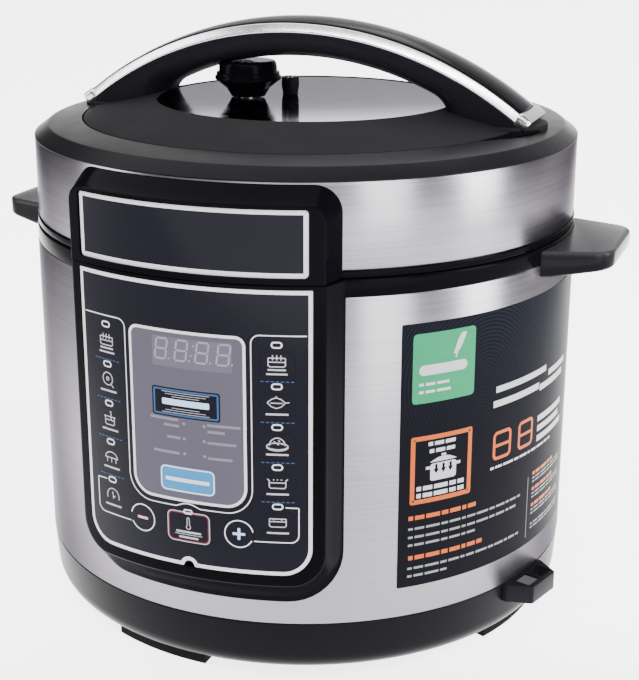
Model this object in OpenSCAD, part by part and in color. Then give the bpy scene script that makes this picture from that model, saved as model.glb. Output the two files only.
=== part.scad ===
// Electric pressure cooker, millimetres.
// The origin lies on the table under the middle of the body, +Z is up and the control panel faces -Y.

/* [Body] */
// Outside diameter of the steel body
body_d = 284; // [278:1:300]
// Height of the seam between the base and the steel shell
base_h = 33; // [31:1:40]
// Height of the visible steel shell
shell_h = 163; // [160:1:180]
// Thickness of the steel shell and of the steel lid band
steel_t = 0.6; // [0.5:0.1:1]
// Height of the black collar above the steel shell
collar_h = 8.6; // [8:0.2:12]
// Wall of the plastic mouldings
wall = 2.5; // [2:0.1:3]
// Height of the rubber feet below the base
foot_h = 5; // [4:0.5:8]
// Angle that each foot pad spans
foot_span = 24; // [15:1:45]
// Angle of the first foot from the front
foot_turn = -13; // [-45:1:45]
// Radius that rounds the lower edge of the base
base_round = 11.3; // [8:0.1:14]
// Draft of the base wall, measured at its lower edge
base_draft = 2; // [0:0.5:4]

/* [Cooking pot and pressure housing] */
// Outside diameter of the inner pot
pot_d = 220; // [214:1:222]
// Room between the floor of the base and the pressure housing
vessel_room = 22; // [21:0.5:28]
// Wall of the inner pot
pot_t = 1.8; // [1.2:0.1:2.5]
// Width of the pot's rim outside its wall
pot_rim = 6; // [5:0.5:7]
// Depth of the pot's rim below the top of the steel shell
rim_drop = 7.7; // [7:0.1:10]
// Gap between the pot and the pressure housing
pot_gap = 2; // [1:0.1:3]
// Wall of the pressure housing
bowl_t = 1.5; // [1:0.1:2]
// Thickness of the heating plate
plate_h = 12.2; // [9:0.1:14]

/* [Bayonet] */
// Number of bayonet lugs
lug_count = 8; // [6:1:10]
// Angle that each lug spans
lug_span = 20; // [12:1:20]
// Reach of the locking ring's lugs
lug_w = 5.7; // [4:0.1:6]
// Thickness of the lugs
lug_t = 3; // [2:0.1:3.5]

/* [Lid] */
// Height of the steel band
band_h = 40; // [36:1:50]
// Drop from the top of the lid's outer ring to the steel band
chamfer_h = 5.8; // [4:0.1:8]
// Width of the chamfer round the lid
chamfer_w = 7; // [4:0.5:10]
// Outside diameter of the matte cover
cover_d = 231.8; // [225:0.1:240]
// Diameter of the glossy centre disc
disc_d = 155.4; // [140:0.1:160]
// Depth to which the centre disc is dished
disc_dish = 2; // [1:0.1:2.5]
// Rise of the matte cover from its edge to the disc
cover_rise = 7.8; // [5:0.1:10]
// Height of the skirt under the steel band
skirt_h = 3.4; // [3:0.1:6]

/* [Lid handle] */
// Radius of the arch at the middle of its chrome trim
arch_r = 194; // [185:1:205]
// Height of the arch above the steel band's top
arch_rise = 53.4; // [50:0.1:60]
// Half length of the arch
arch_half = 122; // [118:1:124]
// Width of the arched handle over its trim
grip_w = 35.2; // [30:0.2:40]
// Depth of the grip under the trim, at its middle
grip_depth = 13.3; // [11:0.1:15]
// Half width of the hand opening at its foot
grip_foot = 79; // [76:1:82]
// Radius of the arch over the hand opening
open_r = 168; // [158:1:180]
// Height of the chrome trim
trim_h = 5; // [4:0.1:7]
// Height of the gloss cover's crown above the trim
crown_h = 2; // [1:0.1:4]
// Rounding of the grip's lower edges
belly = 8.5; // [5:0.1:9]

/* [Control panel] */
// Height of the panel's front face above the steel body
panel_rise = 10.4; // [9.5:0.1:14]
// Half angle of the body bezel where it meets the shell
bezel_angle = 28.5; // [27.5:0.5:32]
// Distance of the body bezel's lower edge above the base
bezel_foot = 12; // [10:1:17]
// Radius of the body bezel's lower corners
bezel_corner = 27; // [20:1:32]
// Height of the printed overlay's lower edge above the bezel's lower edge
overlay_foot = 18.8; // [18:0.1:20]
// Width of the printed overlay, across the front
overlay_w = 116.4; // [115:0.1:118]
// Thickness of the overlay and the name plate
film_t = 0.8; // [0.6:0.1:1.2]
// Width of the name plate, across the front
name_w = 113.6; // [110:0.1:115]
// Distance of the programme keys from the middle
key_col = 43.4; // [42:0.1:44]
// Width of a programme key
key_w = 15; // [12:0.1:16]
// Height of a programme key
key_h = 12.6; // [10:0.1:13]
// Radius of the round plus and minus keys
round_key_r = 7.3; // [6:0.1:8]
// Distance of the plus and minus keys from the middle
round_key_x = 25; // [24:0.1:26]
// Travel of every key
key_travel = 0.5; // [0.3:0.1:0.6]

/* [Handles and fittings] */
// Reach of a side handle beyond the steel body
side_reach = 27; // [20:1:35]
// Half width of a side handle at its root
side_root = 40; // [36:1:46]
// Half width of a side handle at its tip
side_tip = 29; // [24:1:34]
// Thickness of a side handle
side_t = 13; // [10:0.5:16]
// Angle of the spoon holder from the front
spoon_turn = 73.3; // [70:0.1:80]
// Reach of the spoon holder
spoon_reach = 12.5; // [12:0.5:16]
// Width of the printed side label
label_w = 137; // [120:1:140]
// Distance of the side label below the top of the steel shell
label_drop = 14.5; // [12:0.5:18]
// Distance of the side label above the base
label_foot = 15.5; // [14:0.5:20]
// Width of the condensation cup
cup_w = 56; // [50:1:60]
// Height of the condensation cup
cup_h = 38; // [30:1:40]
// Radius of the regulator knob's rim
knob_r = 17.8; // [16:0.1:18]
// Radius of the steam pipe
pipe_r = 5; // [4:0.1:5]
// Distance of the steam pipe from the middle of the lid
pipe_x = 33; // [31:0.5:34]

/* [Clearances] */
// Gap between pieces that move against each other
gap = 0.4; // [0.3:0.05:0.5]
// Slack between pieces that are fitted together
slack = 0.1; // [0.05:0.05:0.2]

/* [Hidden] */

$fn = 96;
eps = 0.01;
far = 400;

// Body, from the table up
shell_r = body_d / 2;
shell_in = shell_r - steel_t;
shell_z = base_h + shell_h;
floor_t = 3;
floor_z = foot_h + floor_t;
collar_z = shell_z + collar_h;

// Pot, pressure housing and bayonet, from the middle out
pot_r = pot_d / 2;
rim_r = pot_r + pot_rim;
rim_t = 2;
rim_z = shell_z - rim_drop;
bowl_z = floor_z + vessel_room;
bowl_floor = bowl_z + bowl_t;
bowl_in = pot_r + pot_gap;
bowl_top = rim_z - rim_t - 0.3;
plate_top = bowl_floor + plate_h;
plate_r = pot_r - 14;
heater_r = plate_r - 26;
pot_z = plate_top + 0.3;
pot_floor_t = 3;
lug_in = rim_r + 3.3;
ring_in = lug_in + lug_w;
ring_wall = 5;
ring_out = ring_in + ring_wall;
liner_r = lug_in - 0.8;
liner_t = 1.5;
liner_in = liner_r - liner_t;
liner_lug_r = ring_in - 1;
liner_lug_t = 2.5;
liner_z = rim_z + 0.7;
ring_top = shell_z;
ring_lug_z = liner_z + liner_lug_t + 1;
liner_top = shell_z + 17.5;

// Lid, from its skirt up
skirt_z = collar_z + gap;
band_z = skirt_z + skirt_h;
band_top = band_z + band_h;
band_r = shell_r - 1;
band_in = band_r - steel_t;
lid_edge_z = band_top + chamfer_h;
cover_r = cover_d / 2;
disc_r = disc_d / 2;
ring_rise = 2;
cover_z = lid_edge_z + ring_rise;
disc_z = cover_z + cover_rise;
disc_t = disc_dish + 2;
cover_t = 2.6;
flange_z = cover_z - cover_t;
flange_in = cover_r - 16;
boss_r = flange_in + 6;

// Arched handle
arch_top = band_top + arch_rise;
arch_z = arch_top - arch_r;
arch_angle = asin(arch_half / arch_r);
trim_in = arch_r - trim_h / 2;
trim_out = arch_r + trim_h / 2;
trim_w = 3;
cap_angle = 2;
grip_in = arch_r - arch_rise;
grip_half = grip_w / 2 - 0.3;
cover_half = grip_w / 2 - trim_w - 0.2;
seat_r = trim_in + 1.5;
open_z = arch_top - trim_h / 2 - grip_depth - open_r;
ear_x = 106;
ear_r = 22;
ear_z = cover_z + 1.8;

// Control panel
panel_r = shell_r + panel_rise;
film_r = panel_r - film_t - 0.4;
bezel_back = panel_r - wall;
bezel_in = shell_r + 0.2;
bezel_z = base_h + bezel_foot;
bezel_slope = 14;
front_angle = bezel_angle - 4;
well_w = 107;
overlay_top = collar_z - 1.9;
overlay_z = bezel_z + overlay_foot;
overlay_h = overlay_top - overlay_z;
overlay_mid = overlay_z + overlay_h / 2;
led_z = collar_z - 27.4;
key_drop = 9.4;
key_pitch = (overlay_h - 40.9) / 5;
window_w = 57.2;
window_top = collar_z - 24.7;
window_foot = overlay_z + 33.7;
window_h = window_top - window_foot;
window_z = (window_top + window_foot) / 2;
digits_z = collar_z - 34.4;
digits_w = 42;
digits_h = 17;
low_key_z = overlay_z + 20.2;
reheat_z = window_top - 34.2;
manual_z = overlay_z + 44;
cancel_size = [23, 16.6];
reheat_size = [34.2, 14];
manual_size = [28.2, 13];
key_flange = 1;
key_round = 3;
board_y = -shell_r + 13.6;
board_t = 1.6;
board_w = 100;
board_z = overlay_z + 6;
board_h = overlay_h - 26.9;
board_posts = [[-45, board_z + 5], [45, board_z + 5], [-30, board_z + board_h - 5], [30, board_z + board_h - 5]];
switch_h = 4;
plunger_h = 1;
lid_bezel_angle = bezel_angle - 0.6;
lid_bezel_z = band_top - 0.8;
lid_bezel_slope = 7.3;
name_z = skirt_z + 3.2;
name_h = lid_bezel_z - lid_bezel_slope - 1.5 - name_z;
name_mid = name_z + name_h / 2;

// Fittings
side_z = collar_z - 1.6;
pipe_at = [-pipe_x, 0];
float_at = [-17, 20];
float_r = 2.4;
float_travel = 4.5;
hub_r = 9.4;
guard_r = 4.7;
guard_h = 7.5;
guard_z = dish_z(norm(float_at)) - 0.2;
knob_z = dish_z(pipe_x + hub_r) + 0.6;
knob_top = disc_z + 17.8;
pipe_top = disc_z + 11;
sensor_r = 10;
sensor_travel = 2.5;
stem_r = 3.5;
hub_h = 4;
spring_z = floor_z + hub_h;
spring_top = bowl_z - 1.8;
post_r = 80;
post_turn = 15;
nut_h = 6;
screw_r = 2;
cup_z = shell_z - 6.5;
cup_d = 25;
rail_t = 3;
cup_screw_x = 20;
cup_screw_y = sqrt(pow(shell_in, 2) - pow(cup_screw_x + 3, 2)) - 2;
inlet_w = 34;
inlet_h = 17;
inlet_z = foot_h + 3.5;
handle_screw_x = ear_x - 2;
handle_screw_y = 9;
power_board_x = -(ring_out - 4);
power_board_z = base_h + 7;
power_board_w = 0.8 * pot_r;
power_board_h = shell_h - 79;
label_h = shell_h - label_drop - label_foot;
key_y = board_y - switch_h - plunger_h - key_travel - 0.3;

// Height of the dished centre disc at radius r
function dish_z(r) = disc_z - disc_dish * (1 - pow(r / disc_r, 2));

// Points of an arc about (x, y), from angle a to angle b
function arc(x, y, r, a, b, n = 8) = [for (i = [0:n]) [x + r * cos(a + (b - a) * i / n),
                                                       y + r * sin(a + (b - a) * i / n)]];

// Ring between two radii and two heights
module ring(r_in, r_out, z, h) {
    translate([0, 0, z]) difference() {
        cylinder(r = r_out, h = h, $fn = 180);
        translate([0, 0, -1]) cylinder(r = r_in, h = h + 2, $fn = 180);
    }
}

// Solid of revolution about Z, from an outline of [radius, height] points
module turned(points) {
    rotate_extrude($fn = 180) polygon(points);
}

// Flat rounded rectangle about the origin
module rounded(w, h, r) {
    square([w - 2 * r, h], center = true);
    square([w, h - 2 * r], center = true);
    for (x = [-1, 1], y = [-1, 1]) translate([x * (w / 2 - r), y * (h / 2 - r)]) circle(r, $fn = 32);
}

// Stands a flat shape up in front of the cooker at height z and runs it back from the far front
module facing(x, z, back) {
    translate([x, back, z]) rotate([90, 0, 0]) linear_extrude(height = far) children();
}

// Angle about Z that an arc of the given length spans on a radius
function turn_of(length, r) = length / r * 180 / PI;

// Points between two others, without the ends
function between(a, b, n) = [for (i = [1:n - 1]) a + (b - a) * i / n];

// Outline of a raised panel on the body: [angle, height] points, lower corners r_low and upper corners r_up
function panel_outline(angle, z0, z1, r_low, r_up, r) =
    let (s = angle * PI / 180 * r, n = 8, m = 12)
    [for (p = concat(between([r_low - s, z0], [s - r_low, z0], m),
                     arc(s - r_low, z0 + r_low, r_low, -90, 0, n), arc(s - r_up, z1 - r_up, r_up, 0, 90, n),
                     between([s - r_up, z1], [r_up - s, z1], m),
                     arc(r_up - s, z1 - r_up, r_up, 90, 180, n), arc(r_low - s, z0 + r_low, r_low, 180, 270, n)))
        [turn_of(p[0], r), p[1]]];

// Block that tapers outwards from a back outline on radius r0 to a front outline on radius r1
module panel_block(back, front, r0, r1) {
    n = len(back);
    spread = 2;
    mid = (front[0][1] + front[n / 2][1]) / 2;
    // The side walls run on past both radii, so that the curved faces can be cut from true cylinders
    grow = spread / (r1 - r0);
    inner = [for (i = [0:n - 1]) let (p = back[i] + (back[i] - front[i]) * grow)
        [(r0 - spread) * sin(p[0]), -(r0 - spread) * cos(p[0]), p[1]]];
    outer = [for (i = [0:n - 1]) let (p = front[i] + (front[i] - back[i]) * grow)
        [(r1 + spread) * sin(p[0]), -(r1 + spread) * cos(p[0]), p[1]]];
    points = concat(inner, outer, [[0, -(r0 - 22), mid], [0, -(r1 + 18), mid]]);
    sides = [for (i = [0:n - 1], half = [0, 1]) let (j = (i + 1) % n)
        half == 0 ? [i, n + j, j] : [i, n + i, n + j]];
    caps = [for (i = [0:n - 1], half = [0, 1]) let (j = (i + 1) % n)
        half == 0 ? [j, 2 * n, i] : [n + i, 2 * n + 1, n + j]];
    polyhedron(points = points, faces = concat(sides, caps), convexity = 4);
}

// Closed tube that winds about Z
module coil(r, wire, z0, z1, turns) {
    steps = 14 * turns;
    sides = 6;
    points = [for (i = [0:steps], k = [0:sides - 1])
        let (a = i * 360 * turns / steps, b = k * 360 / sides, q = r + wire * cos(b))
        [q * cos(a), q * sin(a), z0 + wire + (z1 - z0 - 2 * wire) * i / steps + wire * sin(b)]];
    skin = [for (i = [0:steps - 1], k = [0:sides - 1]) let (m = (k + 1) % sides)
        [i * sides + k, i * sides + m, (i + 1) * sides + m, (i + 1) * sides + k]];
    ends = [[for (k = [sides - 1:-1:0]) k], [for (k = [0:sides - 1]) steps * sides + k]];
    polyhedron(points = points, faces = concat(skin, ends), convexity = 10);
}

// ---- Body ----

function base_outline() = concat(
    [[0, foot_h]],
    arc(shell_r - base_draft - base_round, foot_h + base_round, base_round, -90, 0, 8),
    [[shell_r, base_h], [0, base_h]]);

module base_housing() {
    inner_r = shell_r - base_draft - wall;
    inner_round = base_round - wall;
    color("#1c1c1e") difference() {
        union() {
            difference() {
                turned(base_outline());
                turned(concat(
                    [[0, floor_z]],
                    arc(inner_r - inner_round, floor_z + inner_round, inner_round, -90, 0, 8),
                    [[inner_r, far], [0, far]]));
            }
            ring(inner_r - 1, shell_in - slack, base_h - 5, 10);
            // Screw posts under the pressure housing
            for (k = [0:3]) rotate(post_turn + 90 * k) translate([post_r, 0, foot_h + 1])
                cylinder(r = 6, h = bowl_z - nut_h - foot_h - 1);
            // Hub that guides the temperature sensor
            translate([0, 0, foot_h + 1]) cylinder(r = 9, h = spring_z - foot_h - 1);
            // Slotted pillars that carry the power board
            for (y = [-1, 1]) translate([power_board_x - 4, y * (power_board_w / 2 - 14) - 4, floor_z - 1])
                cube([8, 8, power_board_z + 15 - floor_z]);
            // Flat seat for the power inlet
            translate([-inlet_w / 2 - 4, shell_r - 22, foot_h + 0.5]) cube([inlet_w + 8, 23, inlet_h + 7]);
        }
        translate([power_board_x - board_t / 2 - slack, -power_board_w, power_board_z])
            cube([board_t + 2 * slack, 2 * power_board_w, power_board_h]);
        for (k = [0:3]) rotate(post_turn + 90 * k) translate([post_r, 0, 0]) {
            cylinder(r = screw_r + slack, h = bowl_z);
            cylinder(r = 4.6, h = foot_h + 2);
        }
        translate([0, 0, -1]) cylinder(r = stem_r + 1, h = bowl_z);
        // Air vents in the floor
        for (k = [0:11]) rotate(30 * k) for (r = [30, 96]) translate([r, -2, 0]) cube([24, 4, floor_z + 1]);
        foot_ring(shell_r - 27 - slack, shell_r - 15 + slack, foot_span + 0.4, foot_h, 1.2);
        translate([-inlet_w / 2 - slack, shell_r - 16, inlet_z - slack])
            cube([inlet_w + 2 * slack, 40, inlet_h + 2 * slack]);
        translate([-inlet_w / 2 + 4, shell_r - 30, inlet_z + 3]) cube([inlet_w - 8, 20, inlet_h - 6]);
    }
}

// Four arc-shaped pads under the base
module foot_ring(r_in, r_out, span, z, h) {
    for (k = [0:3]) rotate(foot_turn - 90 + 90 * k - span / 2) rotate_extrude(angle = span, $fn = 180)
        translate([r_in, z]) square([r_out - r_in, h]);
}

module rubber_feet() {
    color("#141414") {
        foot_ring(shell_r - 29, shell_r - 9, foot_span, 0, foot_h);
        foot_ring(shell_r - 27, shell_r - 15, foot_span, foot_h - eps, 1.2 + eps);
    }
}

module outer_shell() {
    color("#a7a5a8") difference() {
        ring(shell_in, shell_r, base_h, shell_h);
        translate([-well_w / 2, -far, overlay_z - 2]) cube([well_w, far, shell_z - 7 - overlay_z + 2]);
        for (x = [-1, 1]) translate([x * cup_screw_x, 0, cup_z - 14]) rotate([-90, 0, 0])
            cylinder(r = 1.7, h = far, $fn = 24);
    }
}

module upper_collar() {
    trough_out = shell_r - wall;
    trough_in = ring_out + 3;
    round_r = 1.5;
    color("#18181a") difference() {
        union() {
            turned(concat(
                [[ring_in + 1, shell_z], [shell_r, shell_z]],
                arc(shell_r - round_r, collar_z - round_r, round_r, 0, 90, 5),
                [[trough_out, collar_z], [trough_out, shell_z + wall], [trough_in, shell_z + wall],
                 [trough_in, collar_z - 1.6], [ring_in + 1, collar_z - 1.6]]));
            ring(shell_in - slack - wall, shell_in - slack, shell_z - 6, 6 + eps);
            // Spout over the condensation cup
            translate([-9, shell_r - wall, shell_z]) cube([18, wall + 12, collar_h - 1.6]);
        }
        translate([-6, trough_in + 1, shell_z + wall]) cube([12, shell_r + 9 - trough_in, 3]);
        translate([0, shell_r + 7.5, shell_z - 1]) cylinder(r = 2.4, h = 6, $fn = 32);
    }
}

// Plan of a side handle that points along +X, drawn in by d all round
module side_plan(d) {
    corner = 12 - d;
    hull() {
        for (y = [-1, 1]) translate([shell_r + side_reach - 12, y * (side_tip - 12)]) circle(corner, $fn = 48);
        for (y = [-1, 1]) translate([shell_r - 8, y * (side_root - 1 - d)]) circle(1);
    }
}

module side_handle() {
    lip = 1.2;
    ledge = 3;
    color("#161618") difference() {
        hull() {
            translate([0, 0, side_z - side_t]) linear_extrude(height = side_t - lip) side_plan(0);
            translate([0, 0, side_z - eps]) linear_extrude(height = eps) side_plan(lip);
        }
        cylinder(r = shell_r, h = far, $fn = 180);
        // Hollow underside, open downwards, with two ribs left standing
        difference() {
            translate([0, 0, side_z - side_t - 1]) linear_extrude(height = side_t + 1 - wall) difference() {
                side_plan(wall + 0.5);
                circle(shell_r + ledge, $fn = 180);
            }
            for (y = [-1, 1]) translate([shell_r, y * 9 - 0.9, side_z - side_t]) cube([far, 1.8, side_t]);
        }
    }
}

module side_handle_right() { side_handle(); }

module side_handle_left() { mirror([1, 0, 0]) side_handle(); }

// ---- Control panel ----

// Cylinder shell that trims panel pieces to the curve of the panel
module curve(r_in, r_out) {
    ring(r_in, r_out, 0, far);
}

module overlay_outline(d) {
    w = overlay_w - 2 * d;
    h = overlay_h - 2 * d;
    corner = 14 - d;
    translate([0, corner / 2]) square([w, h - corner], center = true);
    translate([0, -h / 2 + corner]) square([w - 2 * corner, 2 * corner], center = true);
    for (x = [-1, 1]) translate([x * (w / 2 - corner), -h / 2 + corner]) circle(corner, $fn = 48);
}

// Every key as [x, z, width, height, corner radius]
function key_list() = concat(
    [for (side = [-1, 1], i = [0:4]) [side * key_col, led_z - key_drop - i * key_pitch, key_w, key_h, key_round]],
    [[-round_key_x, low_key_z, 2 * round_key_r, 2 * round_key_r, round_key_r],
     [round_key_x, low_key_z, 2 * round_key_r, 2 * round_key_r, round_key_r],
     [0, low_key_z, cancel_size[0], cancel_size[1], key_round],
     [0, reheat_z, reheat_size[0], reheat_size[1], 1.2],
     [0, manual_z, manual_size[0], manual_size[1], key_round]]);

module key_shape(k, grow) {
    r = k[4];
    if (r >= k[2] / 2) circle(r + grow, $fn = 64);
    else rounded(k[2] + 2 * grow, k[3] + 2 * grow, r + grow);
}

module key_holes(first, last, grow) {
    for (i = [first:last]) let (k = key_list()[i]) facing(k[0], k[1], -100) key_shape(k, grow);
}

module control_bezel() {
    back = panel_outline(bezel_angle, bezel_z, collar_z, bezel_corner, 0.5, shell_r);
    front = panel_outline(front_angle, bezel_z + bezel_slope, collar_z, bezel_corner - 11, 0.5, panel_r);
    color("#121215") difference() {
        union() {
            intersection() {
                panel_block(back, front, bezel_in, panel_r);
                difference() {
                    curve(bezel_in, panel_r);
                    // Hollow behind the front wall
                    intersection() {
                        curve(bezel_in - 1, bezel_back);
                        translate([-well_w / 2, -far, overlay_z - 2]) cube([well_w, far, collar_z - overlay_z - 2]);
                    }
                }
            }
            for (p = board_posts) intersection() {
                curve(100, bezel_back + 0.5);
                facing(p[0], p[1], board_y) circle(3, $fn = 32);
            }
        }
        intersection() {
            curve(film_r - slack, panel_r + 1);
            facing(0, overlay_mid, -100) overlay_outline(-slack);
        }
        key_holes(0, 14, gap);
        facing(0, digits_z, -100) rounded(digits_w, digits_h, 1);
    }
}

module control_overlay() {
    color("#1b1b22") intersection() {
        curve(film_r, film_r + film_t);
        difference() {
            facing(0, overlay_mid, -100) difference() {
                overlay_outline(0);
                translate([0, -overlay_h / 2]) circle(2.4, $fn = 32);
            }
            facing(0, window_z, -100) rounded(window_w + 2 * slack, window_h + 2 * slack, 5);
            key_holes(0, 12, gap);
        }
    }
}

module display_window() {
    color("#77758a") intersection() {
        curve(film_r, film_r + film_t);
        difference() {
            facing(0, window_z, -100) rounded(window_w, window_h, 5);
            key_holes(13, 14, gap);
        }
    }
}

// Key cap in the curve of the panel, with a retaining flange and a stem to its switch
module key(i) {
    k = key_list()[i];
    color(i == 14 ? "#3a8cc4" : "#1b1b22") {
        intersection() {
            curve(bezel_back - gap - 1.2, film_r + film_t);
            facing(k[0], k[1], -100) key_shape(k, 0);
        }
        intersection() {
            curve(bezel_back - gap - 1.2, bezel_back - gap);
            facing(k[0], k[1], -100) key_shape(k, key_flange);
        }
        intersection() {
            curve(100, bezel_back);
            facing(k[0], k[1], key_y) circle(2, $fn = 32);
        }
    }
}

module display_module() {
    color("#3c3c46") difference() {
        translate([-digits_w / 2 + 1, -bezel_back + 1.5, digits_z - digits_h / 2 + 1])
            cube([digits_w - 2, bezel_back - 1.5 + board_y, digits_h - 2]);
        // Four digit wells
        for (i = [-1.5:1:1.5]) translate([i * 9 - 3, -bezel_back, digits_z - 5]) cube([6, 2, 10]);
    }
}

module control_board() {
    color("#2d6b3f") difference() {
        translate([-board_w / 2, board_y, board_z]) cube([board_w, board_t, board_h]);
        for (p = board_posts) translate([p[0], 0, p[1]]) rotate([90, 0, 0]) cylinder(r = 1.2, h = far, $fn = 24);
    }
}

module key_switches() {
    color("#303034") for (k = key_list()) translate([k[0], board_y, k[1]]) {
        translate([-3, -switch_h, -3]) cube([6, switch_h, 6]);
        rotate([90, 0, 0]) cylinder(r = 1.7, h = switch_h + plunger_h, $fn = 24);
    }
}

// ---- Pressure vessel ----

module pressure_housing() {
    bend = 6;
    out = bowl_in + bowl_t;
    color("#b5b5b8") difference() {
        union() {
            turned(concat(
                [[0, bowl_z]], arc(out - bend, bowl_z + bend, bend, -90, 0, 6),
                [[out, bowl_top - bowl_t], [ring_out, bowl_top - bowl_t], [ring_out, bowl_top],
                 [bowl_in, bowl_top]],
                arc(bowl_in - bend + bowl_t, bowl_z + bend, bend - bowl_t, 0, -90, 6),
                [[0, bowl_floor]]));
            for (k = [0:3]) rotate(post_turn + 90 * k) translate([post_r, 0, bowl_z - nut_h])
                cylinder(r = 5, h = nut_h + eps);
        }
        for (k = [0:3]) rotate(post_turn + 90 * k) translate([post_r, 0, bowl_z - nut_h - 1])
            cylinder(r = screw_r + slack, h = nut_h);
        translate([0, 0, bowl_z - 1]) cylinder(r = stem_r + 0.6, h = bowl_t + 2);
        for (x = [-1, 1]) translate([x * 18, 62, bowl_z - 1]) cylinder(r = 3.2, h = bowl_t + 2);
    }
}

module inner_pot() {
    bend = 12;
    inner = pot_r - pot_t;
    color("#6d6d72") turned(concat(
        [[0, pot_z]], arc(pot_r - bend, pot_z + bend, bend, -90, 0, 8),
        [[pot_r, rim_z - rim_t]], arc(rim_r - rim_t / 2, rim_z - rim_t / 2, rim_t / 2, -90, 90, 6),
        [[inner, rim_z]],
        arc(inner - bend + pot_t, pot_z + pot_floor_t + bend - pot_t, bend - pot_t, 0, -90, 8),
        [[0, pot_z + pot_floor_t]]));
}

// Lugs evenly round a ring, from r_in to r_out
module lugs(r_in, r_out, z, h, turn) {
    for (k = [0:lug_count - 1]) rotate(turn + 360 / lug_count * k - lug_span / 2)
        rotate_extrude(angle = lug_span, $fn = 180) translate([r_in, z]) square([r_out - r_in, h]);
}

module locking_ring() {
    color("#9c9ca1") {
        ring(ring_in, ring_out, bowl_top, ring_top - bowl_top);
        lugs(lug_in, ring_in + 1, ring_lug_z, lug_t, 0);
    }
}

module heating_plate() {
    color("#c2c2c4") difference() {
        union() {
            turned([[0, bowl_floor], [plate_r - 4, bowl_floor], [plate_r, bowl_floor + 4],
                    [plate_r, plate_top - 1], [plate_r - 1, plate_top], [0, plate_top]]);
            // Heater terminals
            for (x = [-1, 1]) translate([x * 18, 62, bowl_z - 7]) cylinder(r = 2.4, h = bowl_t + 8, $fn = 32);
        }
        translate([0, 0, bowl_floor - 1]) cylinder(r = sensor_r + 0.6, h = plate_h + 2);
        // Groove pressed over the heater tube
        rotate_extrude($fn = 180) translate([heater_r, bowl_floor]) circle(4, $fn = 32);
    }
    // Cast-in heater tube
    color("#8a8a8c") rotate_extrude($fn = 180) intersection() {
        translate([heater_r, bowl_floor]) circle(4 - slack, $fn = 32);
        translate([heater_r - 10, bowl_floor]) square(20);
    }
}

module temperature_sensor() {
    color("#d0d0d2") {
        translate([0, 0, plate_top - 3]) cylinder(r = sensor_r, h = 3);
        translate([0, 0, spring_z + sensor_travel - 1]) cylinder(r = stem_r, h = plate_top - spring_z - sensor_travel);
        translate([0, 0, spring_top]) cylinder(r = stem_r + 3.5, h = 1.5);
    }
}

module sensor_spring() {
    color("#8f8f93") coil(stem_r + 1.9, 0.7, spring_z + slack, spring_top, 5);
}

module pressure_switch() {
    color("#3a3a3c") {
        translate([38, -10, bowl_z - 13]) cube([24, 12, 11]);
        translate([50, -4, bowl_z - 2 - eps]) cylinder(r = 4, h = 2 + eps, $fn = 32);
        for (x = [41, 57]) translate([x, -5.2, bowl_z - 18]) cube([2, 0.8, 5 + eps]);
    }
}

module thermal_fuse() {
    color("#c9c4b8") translate([-8, -45, bowl_z - 2.5]) rotate([0, 90, 0]) cylinder(r = 2.5, h = 16, $fn = 32);
    color("#b0b0b2") for (x = [-11, 8 - eps]) translate([x, -45, bowl_z - 2.5]) rotate([0, 90, 0])
        cylinder(r = 0.7, h = 3 + eps, $fn = 16);
}

module power_board() {
    z = power_board_z;
    color("#2d6b3f") translate([power_board_x - board_t / 2, -power_board_w / 2, z])
        cube([board_t, power_board_w, power_board_h]);
    // Relay, capacitor, transformer and terminal block, on the outer side
    out = power_board_x - board_t / 2;
    color("#26282c") {
        translate([out - 7, -12, z + 50]) cube([7 + eps, 20, 16]);
        translate([out - 6, 14, z + 20]) cube([6 + eps, 16, 14]);
        translate([out - 5, -30, z + 24]) cube([5 + eps, 18, 12]);
    }
}

module power_inlet() {
    face_y = shell_r + 1;
    color("#101012") difference() {
        union() {
            translate([-inlet_w / 2, shell_r - 16 + slack, inlet_z]) cube([inlet_w, 18, inlet_h]);
            translate([-inlet_w / 2 - 2.5, face_y, inlet_z - 2]) cube([inlet_w + 5, 2.4, inlet_h + 4]);
        }
        translate([4.5 - inlet_w / 2, shell_r - 13, inlet_z + 2]) cube([inlet_w - 9, 20, inlet_h - 4]);
    }
    // Three contact pins, the middle one set higher
    color("#c8c8ca") for (x = [-7, 0, 7])
        translate([x - 1, shell_r - 13 - eps, inlet_z + inlet_h / 2 - (x == 0 ? 0 : 4)]) cube([2, 10, 4]);
}

module housing_screws() {
    color("#8a8a8c") {
        for (k = [0:3]) rotate(post_turn + 90 * k) translate([post_r, 0, 0]) {
            translate([0, 0, foot_h]) cylinder(r = 4.3, h = 2, $fn = 32);
            translate([0, 0, foot_h + 1]) cylinder(r = screw_r, h = bowl_z - foot_h - 2.5, $fn = 32);
        }
        for (x = [-1, 1]) translate([x * cup_screw_x, cup_screw_y, cup_z - 14]) rotate([-90, 0, 0]) {
            cylinder(r = 1.5, h = shell_r + 2.4 - cup_screw_y, $fn = 24);
            cylinder(r = 3, h = 1.9, $fn = 32);
        }
    }
}

// ---- Fittings ----

module spoon_holder() {
    z = base_h - 10;
    outer = shell_r + spoon_reach;
    color("#19191b") difference() {
        rotate(spoon_turn - 90) translate([0, 0, z]) linear_extrude(height = 10) difference() {
            polygon([[shell_r - 5, -17.5], [shell_r + 1, -17.5], [outer, -11], [outer, 11],
                     [shell_r + 1, 17.5], [shell_r - 5, 17.5]]);
            translate([shell_r + 1.6, 1]) square([spoon_reach - 4, 10]);
        }
        turned(base_outline());
        // Shallow seat on the front half
        rotate(spoon_turn - 90) translate([shell_r + 1.6, -11, base_h - 1]) cube([spoon_reach - 4, 10.4, 2]);
    }
}

module side_label() {
    start = 39.7;
    span = turn_of(label_w, shell_r);
    color("#2a2a2f") rotate(start - 90) rotate_extrude(angle = span, $fn = 180)
        translate([shell_r + 0.05, base_h + label_foot]) square([0.2, label_h]);
}

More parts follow.
